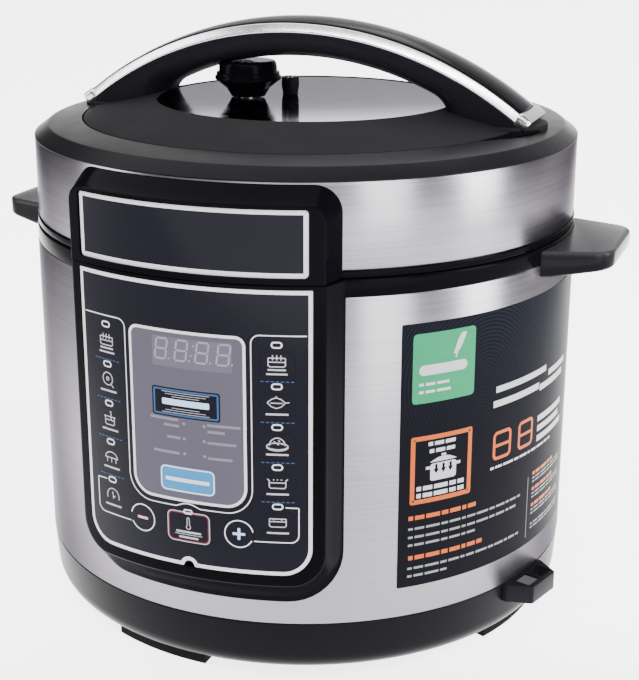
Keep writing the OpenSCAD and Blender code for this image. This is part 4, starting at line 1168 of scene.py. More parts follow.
def panel_outline(half, low, top, low_corner, top_corner, r):
    """Outline of a raised panel as (turn, height) points, from its lower left corner round."""
    s = half * r
    lower = [(low_corner - s + (2 * s - 2 * low_corner) * i / 28, low) for i in range(1, 28)]
    upper = [(s - top_corner - (2 * s - 2 * top_corner) * i / 28, top) for i in range(1, 28)]
    points = lower + arc_points(s - low_corner, low + low_corner, low_corner, -math.pi / 2, 0, 10)
    points += arc_points(s - top_corner, top - top_corner, top_corner, 0, math.pi / 2, 10) + upper
    points += arc_points(top_corner - s, top - top_corner, top_corner, math.pi / 2, math.pi, 10)
    points += arc_points(low_corner - s, low + low_corner, low_corner, math.pi, 1.5 * math.pi, 10)
    return [(u / r, z) for u, z in points]


def raised_panel(back, front, film, r_back, r_front, r_film):
    """Bezel that rises from the drum, rounds over its edge and steps down round a film."""

    def between(first, last, t, r):
        return [on_drum(a + (c - a) * t, r, b + (d - b) * t) for (a, b), (c, d) in zip(first, last)]

    rise = r_front - r_back
    loops = [between(back, front, t, r_back + rise * t) for t in (0.0, 0.45, 0.84)]
    for i in range(1, 6):
        bend = math.sin(math.pi / 2 * i / 6)
        lift = 0.84 + 0.16 * (1 - (1 - bend) ** 1.3)
        loops.append(between(back, front, 0.84 + 0.16 * bend * 0.9, r_back + rise * lift))
    for t in (0.10, 0.3, 0.6, 0.9, 1.0):
        loops.append(between(front, film, t, r_front))
    loops.append(between(front, film, 1.0, r_film))
    return Form().loft(loops, caps=False)


def key_caps(p):
    """Every key as (name, across the front, height, width, height of the cap, corner)."""
    keys = []
    for side, word in ((-1, "left"), (1, "right")):
        for i in range(5):
            name = "key_" + word + "_" + str(i + 1)
            keys.append((name, side * p.key_x, p.key_z - i * p.key_pitch, p.key_w, p.key_h, 0.003))
    keys.append(("key_minus", -p.round_x, p.low_z, 2 * p.round_r, 2 * p.round_r, p.round_r))
    keys.append(("key_plus", p.round_x, p.low_z, 2 * p.round_r, 2 * p.round_r, p.round_r))
    keys.append(("key_cancel", 0.0, p.low_z, p.cancel_w, p.cancel_h, 0.003))
    keys.append(("key_reheat", 0.0, p.reheat_z, p.reheat_w, p.reheat_h, 0.0012))
    keys.append(("key_manual", 0.0, p.manual_z, p.manual_w, p.manual_h, 0.003))
    return keys


class COOKER_OT_panel(bpy.types.Operator):
    """Body bezel, overlay film, display window and key caps"""

    bl_idname = "cooker.panel"
    bl_label = "Control Panel"

    def execute(self, context):
        b = context.scene.cooker_body
        p = context.scene.cooker_panel
        r = p.film_r
        slope = math.radians(4)
        film_turn = math.asin(p.film_half / r)
        back = panel_outline(p.bezel_angle, p.bezel_low, b.collar_top, p.bezel_corner, 0.0006, b.shell_r)
        front = panel_outline(
            p.bezel_angle - slope, p.bezel_low + p.bezel_slope, b.collar_top, p.bezel_corner - 0.011,
            0.0006, p.face_r
        )
        film = panel_outline(
            film_turn, p.film_low - 0.0001, p.film_top + 0.0001, p.film_corner, 0.0003, r
        )
        bezel = made(
            "panel_bezel", raised_panel(back, front, film, b.shell_r + 0.0001, p.face_r, r - p.film_t)
        )
        seat(bezel, "housing", "gloss_black", replaces=["control_bezel"], limit=40)

        middle = (p.film_low + p.film_top) / 2
        tall = p.film_top - p.film_low
        columns = columns_of(0.0, middle, 2 * p.film_half, tall, p.film_corner, 0.0003)
        notch = 0.0024
        columns = [c for c in columns if abs(c[0]) > notch]
        for i in range(13):
            u = -notch * math.cos(math.pi * i / 12)
            columns.append((u, p.film_low + math.sqrt(max(0.0, notch ** 2 - u ** 2)), p.film_top))
        obj = made("panel_film", Form(None).tablet(sorted(columns), r - p.film_t, r))
        holes = Form()
        gap = 0.00007
        holes.through(window_outline(p, 0.0001), CUT_FRONT, CUT_BACK)
        keys = key_caps(p)
        on_film = 13
        for _, x, z, w, h, corner in keys[:on_film]:
            holes.through(
                rectangle(w + 2 * gap, h + 2 * gap, corner + gap * 0.999, x, z), CUT_FRONT, CUT_BACK
            )
        cut(obj, holes)
        seat(obj, "housing", "panel_print", ["panel_film"], ["control_overlay"])

        window_z = (p.window_low + p.window_top) / 2
        window_h = p.window_top - p.window_low
        columns = columns_of(0.0, window_z, 2 * p.window_half, window_h, p.window_corner, WINDOW_HEAD)
        obj = made("display_glass", Form(None).tablet(columns, r - p.film_t, r))
        holes = Form()
        for _, x, z, w, h, corner in keys[on_film:]:
            holes.through(rectangle(w + 2 * gap, h + 2 * gap, corner + gap, x, z), CUT_FRONT, CUT_BACK)
        cut(obj, holes)
        seat(obj, "housing", "display_smoke", replaces=["display_window"])

        for name, x, z, w, h, corner in keys:
            obj = made(name + "_button", Form(None).tablet(columns_of(x, z, w, h, corner), r - 0.0035, r))
            if name == "key_manual":
                seat(obj, name + "_cap", "key_blue", replaces=[name])
            else:
                seat(obj, name + "_cap", "key_print", ["panel_film"], [name])
        return {"FINISHED"}


class COOKER_OT_name_plate(bpy.types.Operator):
    """Lid bezel with its bare name plate"""

    bl_idname = "cooker.name_plate"
    bl_label = "Name Plate"

    def execute(self, context):
        b = context.scene.cooker_body
        d = context.scene.cooker_lid
        p = context.scene.cooker_panel
        r = p.film_r
        top = p.lid_bezel_top
        plate_turn = math.asin(p.plate_half / r)
        back = panel_outline(p.lid_bezel_angle, d.skirt_low, top, 0.0006, 0.013, b.shell_r)
        slope = math.radians(3.6)
        front = panel_outline(
            p.lid_bezel_angle - slope, d.skirt_low + 0.0002, top - p.lid_bezel_slope, 0.0006, 0.0075,
            p.face_r
        )
        plate = panel_outline(plate_turn, p.plate_low, p.plate_top, 0.0015, 0.0015, r)
        form = raised_panel(back, front, plate, d.band_r + 0.0001, p.face_r + 0.0006, r - p.film_t)
        seat(made("lid_panel_bezel", form), "lid", "gloss_black", replaces=["lid_bezel"], limit=40)
        z = (p.plate_low + p.plate_top) / 2
        columns = columns_of(0.0, z, 2 * p.plate_half, p.plate_top - p.plate_low, 0.0015)
        obj = made("bare_name_plate", Form(None).tablet(columns, r - p.film_t, r))
        seat(obj, "lid", "panel_print", ["panel_film"], ["lid_name_plate"])
        form = Form()
        form.frame(0.0, z, 0.1154, 0.0306, 0.002, 0.0022, r + INK_LIFT)
        seat(made("name_plate_border", form, True), "lid", "panel_print", ["white_ink"])
        return {"FINISHED"}


# Pictograms drawn with a pen, in millimetres about their middle


def bow(x, y, wide, high, first=0, last=360, step=15):
    """Part of an ellipse between two angles in degrees."""
    steps = abs(last - first) // step
    turns = [math.radians(first + (last - first) * i / steps) for i in range(steps + 1)]
    return [(x + wide * math.cos(a), y + high * math.sin(a)) for a in turns]


TUB = [(-3.9, 1.6), (-3.9, -1.9), (-3.2, -2.5), (3.2, -2.5), (3.9, -1.9), (3.9, 1.6)]
LEVEL = [(-3.9, -0.3), (3.9, -0.3)]
BRIM = [(-3.9, 1.6), (3.9, 1.6)]
PRESSURE = [TUB, LEVEL, BRIM] + [[(x, 3.0), (x, 0.6)] for x in (-1.9, 0.0, 1.9)]
PAN = [bow(-0.2, 0.4, 3.1, 3.1), bow(-0.2, 0.4, 0.8, 0.8, step=45), [(1.8, -2.1), (3.4, -3.6)]]
LADLE = [
    [(-2.9, 0.9), (-2.9, -2.6), (-2.3, -3.2), (2.3, -3.2), (2.9, -2.6), (2.9, 0.9)],
    [(-3.7, 0.9), (3.7, 0.9)], [(-2.9, -0.8), (2.9, -0.8)], [(0.9, -0.8), (0.9, 3.4), (0.1, 3.4)],
]
STEAMER = [bow(0.0, -0.6, 3.9, 3.0, 0, 180), [(-4.3, -0.6), (4.3, -0.6)]]
STEAMER += [[(x, -0.6), (x, -3.0)] for x in (-2.8, 0.0, 2.8)]
CLOCK = [bow(0.0, -0.9, 3.9, 3.9, -20, 200, 20), [(-0.2, 1.4), (0.1, -1.9), (1.5, -0.5)]]
SKILLET = [
    [(-4.5, 0.0), (-2.4, 1.7), (-0.4, 2.4), (1.8, 1.7), (3.8, 0.0)], [(-0.6, 2.9), (0.0, 2.9)],
    [(-4.5, 0.0), (-2.6, -1.9), (-0.3, -2.7), (2.0, -1.9), (3.8, 0.0)], [(-3.0, -0.2), (2.6, -0.2)],
    [(3.8, 0.0), (5.6, 0.2)],
]
CAKE = [
    bow(0.0, -1.5, 4.9, 1.6), bow(0.0, -1.9, 4.9, 1.8, 180, 360), bow(0.0, -1.2, 3.6, 3.8, 0, 180),
    [(-1.6, 0.9), (-0.8, 0.3)], [(0.4, 1.5), (1.2, 0.8)], [(-0.2, -0.4), (0.8, -0.7)],
    [(1.9, -0.1), (2.5, -0.6)],
]
ROAST = [
    [(-4.8, 1.9), (-3.8, 1.2), (-3.8, -2.0), (-3.2, -2.6)]
    + [(3.2, -2.6), (3.8, -2.0), (3.8, 1.2), (4.8, 1.9)], [(-3.8, 0.1), (3.8, 0.1)],
    [(-2.1, 1.6), (-1.5, 1.6)], [(-0.3, 1.6), (0.3, 1.6)], [(1.5, 1.6), (2.1, 1.6)],
]
CHEF = [TUB, [(-3.9, 0.2), (3.9, 0.2)], BRIM, [(-2.4, 1.6), (-1.6, 1.0)], [(2.4, 1.6), (1.6, 1.0)]]
LEFT_SIGNS = (PRESSURE, PAN, LADLE, STEAMER, CLOCK)
RIGHT_SIGNS = (PRESSURE, SKILLET, CAKE, ROAST, CHEF)
SEGMENTS = (
    ((0, 2), (1, 2)), ((1, 2), (1, 1)), ((1, 1), (1, 0)), ((0, 0), (1, 0)),
    ((0, 1), (0, 0)), ((0, 2), (0, 1)), ((0, 1), (1, 1)),
)


def window_outline(p, spread):
    """Outline of the display window, wider by a spread all round."""
    half = p.window_half + spread
    low = p.window_low - spread
    top = p.window_top + spread
    foot = p.window_corner + spread
    head = WINDOW_HEAD + spread
    return filleted([(half, low, foot), (half, top, head), (-half, top, head), (-half, low, foot)], 10)


def word_row(form, x, z, wide, tall, r, seed):
    """A line of words as bars of uneven length, from its left end."""
    done = 0.0
    k = seed
    while done < wide - 0.0015:
        run = min(0.0024 + 0.0013 * ((k * 7 + seed * 3) % 5), wide - done)
        form.bar(x + done + run / 2, z, run, tall, r)
        done += run + 0.0010
        k += 1


def draw_sign(form, strokes, x, z, r, pen=0.0005):
    for stroke in strokes:
        form.line([(x + MM * px, z + MM * pz) for px, pz in stroke], pen, r)


class COOKER_OT_prints(bpy.types.Operator):
    """Prints of the overlay film, the display and the keys"""

    bl_idname = "cooker.prints"
    bl_label = "Panel Prints"

    def execute(self, context):
        p = context.scene.cooker_panel
        r = p.film_r + INK_LIFT
        film = Form()
        blue = 1
        line = 0.0019
        half = r * math.asin(p.film_half / r) - line / 2 - 0.0001
        corner = p.film_corner - line / 2
        bottom = p.film_low + line / 2 + 0.0001
        top = p.film_top - line / 2 - 0.0001
        notch = 0.0036
        edge = [(-notch, bottom)]
        edge += reversed(arc_points(corner - half, bottom + corner, corner, math.pi, 1.5 * math.pi, 12))
        edge += [(-half, top), (half, top)]
        edge += reversed(arc_points(half - corner, bottom + corner, corner, -math.pi / 2, 0, 12))
        edge += [(notch, bottom)]
        edge += arc_points(0.0, bottom - 0.0006, notch, 0.2, math.pi - 0.2, 10)
        film.line(edge, line, r, closed=True)
        film.line(window_outline(p, 0.0001), 0.0014, r, closed=True)
        bump = [(0.0062, 0.0942), (0.0045, 0.0949), (0.0023, 0.0958), (0.0, 0.0961)]
        for side in (-1, 1):
            guide = [(0.0570, 0.1817), (0.0358, 0.1817)]
            guide += arc_points(0.0358, 0.1777, 0.004, math.pi / 2, math.pi, 6)
            guide += arc_points(0.0193, 0.1066, 0.0125, 0, -math.pi / 2, 10) + bump
            bracket = arc_points(0.0495, 0.0847, 0.0038, 0, -math.pi / 2, 6)
            bracket = [(0.0533, 0.0984)] + bracket + [(0.0323, 0.0809)]
            for path in (guide, ((0.0472, 0.0987), (0.0533, 0.0984)), bracket):
                film.line([(side * x, z) for x, z in path], 0.00055, r)
            for i in range(5):
                film.frame(side * 0.0435, 0.1774 - i * p.key_pitch, 0.0053, 0.0032, 0.0016, 0.0007, r)
        film.frame(0.0, 0.0919, 0.0048, 0.0026, 0.0012, 0.0007, r)
        film.tint = blue
        for side in (-1, 1):
            first = side * 0.0437 - 0.0069
            for i in range(4):
                for k in range(7):
                    film.bar(first + 0.0023 * k, 0.1601 - i * p.key_pitch, 0.0015, 0.00045, r)
        seat(made("panel_marks", film, True), "housing", "panel_print", ["white_ink", "blue_ink"])

        show = Form()
        ghost, patch = range(2)
        show.tint = patch
        show.bar(0.0034, 0.1700, 0.0396, 0.0143, r)
        show.tint = ghost
        lift = r + 0.00002
        for k in range(4):
            x0 = -0.0152 + 0.0103 * k
            z0 = 0.1664
            for segment in SEGMENTS:
                (x1, z1), (x2, z2) = [(x0 + 0.0056 * u + 0.0007 * v, z0 + 0.0049 * v) for u, v in segment]
                gap = Vector((x2 - x1, z2 - z1)).normalized() * 0.0004
                show.line([(x1 + gap.x, z1 + gap.y), (x2 - gap.x, z2 - gap.y)], 0.0009, lift)
            show.bar(x0 + 0.0074, z0 + 0.0005, 0.0009, 0.0009, lift, 0.0004)
        show.bar(0.0035, 0.1695, 0.0009, 0.0009, lift, 0.0004)
        show.bar(0.0048, 0.1742, 0.0009, 0.0009, lift, 0.0004)
        seat(made("display_digits", show, True), "housing", "display_smoke", ["ghost_ink", "patch_ink"])

        words = Form()
        rows = (
            (-0.0185, 0.1374, 0.0149), (-0.0114, 0.1344, 0.0081), (-0.0099, 0.1286, 0.0071),
            (-0.0173, 0.1209, 0.0139), (0.0108, 0.1368, 0.0159), (0.0108, 0.1336, 0.0084),
            (0.0107, 0.1281, 0.0139), (0.0107, 0.1205, 0.0120),
        )
        for x, z, wide in rows:
            words.bar(x + wide / 2, z, wide, 0.0013, r, 0.0003)
        for z in (0.1360, 0.1286, 0.1212):
            words.bar(-0.0009, z, 0.0016, 0.0016, r, 0.0008)
            words.bar(0.0092, z, 0.0016, 0.0016, r, 0.0008)
        seat(made("display_words", words, True), "housing", "display_smoke", ["faint_ink"])

        for side, word, signs in ((-1, "left", LEFT_SIGNS), (1, "right", RIGHT_SIGNS)):
            for i in range(5):
                mark = Form()
                x = side * 0.0435
                z = p.key_z - i * p.key_pitch
                draw_sign(mark, signs[i], x, z + 0.0019, r)
                if i == 0:
                    mark.bar(x, z - 0.0021, 0.0082, 0.0008, r)
                    mark.bar(x, z - 0.0041, 0.0096, 0.0008, r)
                else:
                    mark.bar(x, z - 0.0037, 0.0103, 0.0009, r)
                name = "key_" + word + "_" + str(i + 1)
                seat(made(name + "_sign", mark, True), name + "_cap", "key_print", ["sign_ink"])

        tinted = 1
        for side, name, colour in ((-1, "key_minus", "pink_ink"), (1, "key_plus", "pale_ink")):
            mark = Form()
            x = r * math.asin(side * p.round_x / r)
            first = math.radians(12) if side > 0 else math.radians(206)
            ring = arc_points(x, p.low_z, p.round_r - 0.0005, first, first + math.radians(322), 36)
            mark.line(ring, 0.0006, r)
            mark.tint = tinted
            mark.bar(x, p.low_z, 0.0060, 0.0013, r, 0.0004)
            if side > 0:
                mark.bar(x, p.low_z, 0.0013, 0.0060, r, 0.0004)
            seat(made(name + "_sign", mark, True), name + "_cap", "key_print", ["white_ink", colour])

        mark = Form()
        pale, red = range(2)
        mark.tint = red
        mark.frame(0.0, p.low_z, p.cancel_w - 0.0021, p.cancel_h - 0.0021, 0.0026, 0.0006, r)
        mark.tint = pale
        mark.frame(0.0, p.low_z, p.cancel_w - 0.0010, p.cancel_h - 0.0010, 0.003, 0.0005, r)
        mark.bar(0.0, 0.0814, 0.0130, 0.0010, r, 0.0003)
        mark.bar(0.0, 0.0801, 0.0142, 0.0003, r)
        mark.bar(0.0, 0.0786, 0.0100, 0.0010, r, 0.0003)
        stem = [
            [(-0.6, 1.0), (-0.6, 4.6), (0.0, 5.2), (0.6, 4.6), (0.6, 1.0)],
            bow(0.0, 0.2, 1.1, 1.1, 130, 410, 35)
        ]
        draw_sign(mark, stem, 0.0, 0.0838, r, 0.0004)
        seat(made("key_cancel_sign", mark, True), "key_cancel_cap", "key_print", ["sign_ink", "red_ink"])

        mark = Form()
        pale, blue, grey = range(3)
        mark.tint = blue
        mark.frame(0.0, p.reheat_z, p.reheat_w - 0.0012, p.reheat_h - 0.0012, 0.001, 0.0009, r)
        mark.tint = pale
        mark.bar(0.0, p.reheat_z + 0.0002, 0.0238, 0.0030, r, 0.0004)
        mark.tint = grey
        for reach, wide in ((0.0050, 0.0240), (0.0039, 0.0206), (0.0028, 0.0140)):
            for side in (-1, 1):
                mark.bar(0.0, p.reheat_z + side * reach, wide, 0.0003, r)
        seat(
            made("key_reheat_sign", mark, True), "key_reheat_cap", "key_print",
            ["pale_ink", "blue_ink", "grey_ink"]
        )

        mark = Form()
        mark.frame(0.0, p.manual_z, p.manual_w - 0.0006, p.manual_h - 0.0006, 0.0026, 0.0007, r)
        mark.bar(0.0, p.manual_z - 0.0002, 0.0226, 0.0019, r, 0.0004)
        seat(made("key_manual_sign", mark, True), "key_manual_cap", "key_blue", ["white_ink"])
        return {"FINISHED"}


class COOKER_OT_side_label(bpy.types.Operator):
    """Printed label on the side of the body"""

    bl_idname = "cooker.side_label"
    bl_label = "Side Label"

    def execute(self, context):
        b = context.scene.cooker_body
        sizes = context.scene.cooker_label
        r = b.shell_r + 0.00025
        film = Form(sizes.start)
        columns = columns_of(
            sizes.width / 2, sizes.low + sizes.height / 2, sizes.width, sizes.height, 0.0006
        )
        film.tablet(columns, b.shell_r + 0.00003, r)
        seat(made("label_film", film), "housing", "label_print", ["label_film"], ["side_label"])

        r = r + 0.00003
        mark = Form(sizes.start)
        white, orange, green, grey, dark = range(5)
        top = b.shell_top
        lift = r + INK_LIFT
        mark.tint = green
        mark.bar(0.0226, top - 0.0367, 0.034, 0.0342, r, 0.002)
        mark.tint = orange
        mark.frame(0.0226, top - 0.0874, 0.034, 0.0344, 0.0012, 0.0023, r)
        for x in (0.0605, 0.0798):
            mark.frame(x, top - 0.0846, 0.0135, 0.0150, 0.003, 0.0017, r)
            mark.bar(x, top - 0.0846, 0.0135, 0.0016, r)
        word_row(mark, 0.0052, top - 0.1115, 0.0397, 0.0022, r, 3)
        word_row(mark, 0.0055, top - 0.1323, 0.0430, 0.0022, r, 1)
        for z in (0.1094, 0.1180, 0.1270):
            word_row(mark, 0.0890, top - z, 0.026, 0.0018, r, 2)
        mark.tint = white
        columns = []
        for i in range(11):
            u = -0.0048 + 0.00096 * i
            swell = 0.0040 * math.sin(math.pi * i / 10)
            columns.append((0.0306 + u * 0.75, top - 0.0268 + u - swell * 0.7, top - 0.0268 + u + swell))
        mark.area(columns, lift)
        mark.line([(0.0284, top - 0.0335), (0.0288, top - 0.0316), (0.0301, top - 0.0290)], 0.0007, lift)
        mark.bar(0.0220, top - 0.0376, 0.0262, 0.0050, lift, 0.0025)
        word_row(mark, 0.0090, top - 0.0445, 0.0161, 0.0014, lift, 1)
        word_row(mark, 0.0090, top - 0.0482, 0.0191, 0.0014, lift, 2)
        word_row(mark, 0.0148, top - 0.0747, 0.0150, 0.0019, r, 3)
        word_row(mark, 0.0155, top - 0.0784, 0.0140, 0.0019, r, 4)
        mark.bar(0.0233, top - 0.0893, 0.0144, 0.0088, r, 0.0014)
        mark.line([(0.0137, top - 0.0868), (0.0162, top - 0.0868)], 0.0015, r)
        mark.line([(0.0304, top - 0.0868), (0.0329, top - 0.0868)], 0.0015, r)
        dome = ((0.0161, 0.0839), (0.0200, 0.0822), (0.0233, 0.0816), (0.0266, 0.0822), (0.0305, 0.0839))
        mark.area([(x, top - 0.0842, top - z) for x, z in dome], r)
        mark.bar(0.0233, top - 0.0810, 0.0026, 0.0010, r)
        mark.tint = dark
        for x in (0.0193, 0.0233, 0.0273):
            mark.bar(x, top - 0.0868, 0.0013, 0.0026, lift)
            head = ((x - 0.0014, 0.0880), (x, 0.0903), (x + 0.0014, 0.0880))
            mark.area([(u, top - z, top - 0.0879) for u, z in head], lift)
        mark.tint = white
        word_row(mark, 0.0090, top - 0.0968, 0.0264, 0.0022, r, 5)
        word_row(mark, 0.0090, top - 0.1004, 0.0264, 0.0022, r, 2)
        mark.bar(0.0765, top - 0.0552, 0.0440, 0.0032, r)
        mark.bar(0.1150, top - 0.0588, 0.0260, 0.0032, r)
        mark.bar(0.0720, top - 0.0625, 0.0380, 0.0034, r)
        mark.bar(0.1080, top - 0.0640, 0.0320, 0.0034, r)
        for z, wide in ((0.0805, 0.033), (0.0858, 0.029), (0.0912, 0.034)):
            mark.bar(0.0915 + wide / 2, top - z, wide, 0.0032, r)
        word_row(mark, 0.0525, top - 0.0958, 0.0560, 0.0013, r, 4)
        mark.tint = grey
        rows = (
            (0.1171, 0.072, 1), (0.1215, 0.069, 2), (0.1256, 0.040, 3), (0.1378, 0.072, 4),
            (0.1419, 0.022, 5)
        )
        for z, wide, seed in rows:
            word_row(mark, 0.0052, top - z, wide, 0.0012, r, seed)
        for k, z in enumerate((0.1120, 0.1140, 0.1206, 0.1226, 0.1296, 0.1316, 0.1376, 0.1396)):
            word_row(mark, 0.0890, top - z, 0.038, 0.0009, r, k)
        mark.bar(0.0846, top - 0.1268, 0.0004, 0.0336, r)
        seat(
            made("label_marks", mark, True), "housing", "label_print",
            ["label_white", "orange_ink", "green_ink", "label_grey", "label_film"]
        )
        return {"FINISHED"}


# ---- Fittings ----


class COOKER_OT_fittings(bpy.types.Operator):
    """Spoon holder, condensation cup, its bracket and the mains inlet"""

    bl_idname = "cooker.fittings"
    bl_label = "Fittings"

    def execute(self, context):
        b = context.scene.cooker_body
        f = context.scene.cooker_fittings
        r = b.shell_r
        turn = f.spoon_turn - math.pi / 2

        def turned_plan(points):
            c, s = math.cos(turn), math.sin(turn)
            return [(x * c - y * s, x * s + y * c) for x, y in points]

        low = b.base_top - 0.010
        plan = filleted([
            (r - 0.003, -0.0175, 0), (r + 0.001, -0.0175, 0.001), (f.spoon_reach, -0.011, 0.0015),
            (f.spoon_reach, 0.011, 0.0015), (r + 0.001, 0.0175, 0.001), (r - 0.003, 0.0175, 0),
        ])
        holder = made("spoon_rest", Form().upright(turned_plan(plan), low, b.base_top))
        rounded_edges(holder, 0.0007, 3, 50)
        near, far = r + 0.0016, r + 0.0101
        hole = filleted(
            [(near, 0.001, 0.0008), (far, 0.001, 0.0008), (far, 0.011, 0.0008), (near, 0.011, 0.0008)]
        )
        cut(holder, Form().upright(turned_plan(hole), 0.0, 0.1))
        seat_plan = [(x, -y) for x, y in reversed(hole)]
        cut(holder, Form().upright(turned_plan(seat_plan), b.base_top - 0.001, 0.1))
        seat(holder, "housing", "black_plastic", replaces=["spoon_holder"])
        # A grey sheet laid in the holder's seat: painted highlight, its upward face shown lit from above.
        near, far = r + 0.0018, r + 0.0099
        lit_seat_plan = filleted([
            (near, -0.0108, 0.0006), (far, -0.0108, 0.0006), (far, -0.0012, 0.0006),
            (near, -0.0012, 0.0006),
        ])
        pad = made(
            "spoon_rest_pad",
            Form().upright(turned_plan(lit_seat_plan), b.base_top - 0.0012, b.base_top - 0.0007)
        )
        seat(pad, "housing", "satin_black", ["rest_pad"])

        half = f.cup_half
        y0 = f.cup_y
        cup = made("water_cup", Form().block((-half, y0, f.cup_low), (half, y0 + f.cup_d, f.cup_top)))
        rounded_edges(cup, 0.002, 4, 50)
        wide = half + 0.0032
        block = Form().block(
            (-wide, y0, f.cup_top - 0.0026), (wide, y0 + f.cup_d + 0.003, f.cup_top - 0.0002)
        )
        lip = made("cup_lip", block)
        rounded_edges(lip, 0.0008, 3, 50)
        wall = 0.0018
        hollow = Form().block(
            (wall - half, y0 + wall, f.cup_low + wall),
            (half - wall, y0 + f.cup_d - wall, f.cup_top + 0.01)
        )
        cut(cup, hollow)
        cut(lip, hollow)
        seat(cup, "cup", "cup_smoke", replaces=["condensation_cup"])
        seat(lip, "cup", "cup_smoke")

        wide = f.bracket_half
        rail_low = 0.1845
        rail_top = 0.1935
        bracket = made("cup_rail", Form().block((-wide, r - 0.006, 0.1655), (wide, r + 0.003, rail_top)))
        rounded_edges(bracket, 0.001, 3, 50)
        cut(bracket, Form().upright(circle(0, 0, r, 192), 0.1, 0.3))
        seat(bracket, "housing", "black_plastic", replaces=["cup_bracket"])
        rails = Form()
        for s in (-1, 1):
            for thick, top in ((0.003, rail_top), (0.005, rail_low + 0.002)):
                near, far = sorted((s * wide, s * (wide - thick)))
                rails.block((near, r + 0.002, rail_low), (far, r + 0.031, top))
        seat(made("cup_rail_arms", rails), "housing", "black_plastic")

        z = f.inlet_z
        face = r + 0.001
        flange = made(
            "inlet_flange", Form().through(rectangle(0.039, 0.021, 0.003, 0.0, z), face, face + 0.0024)
        )
        rounded_edges(flange, 0.0005, 2, 50)
        socket = rectangle(0.025, 0.013, 0.002, 0.0, z)
        cut(flange, Form().through(socket, face - 0.02, face + 0.01))
        seat(flange, "housing", "black_plastic", replaces=["power_inlet"])
        well = made(
            "inlet_well", Form().through(rectangle(0.034, 0.017, 0.001, 0.0, z), r - 0.0159, face + 0.001)
        )
        cut(well, Form().through(socket, r - 0.013, face + 0.01))
        seat(well, "housing", "black_plastic")
        pins = Form()
        for x in (-0.007, 0.0, 0.007):
            foot = z - (0.0 if x == 0.0 else 0.004)
            pins.block((x - 0.001, r - 0.013, foot), (x + 0.001, r - 0.003, foot + 0.004))
        pin = made("inlet_pins", pins)
        rounded_edges(pin, 0.0004, 2, 50)
        seat(pin, "housing", "chrome")
        return {"FINISHED"}


# ---- Inside ----


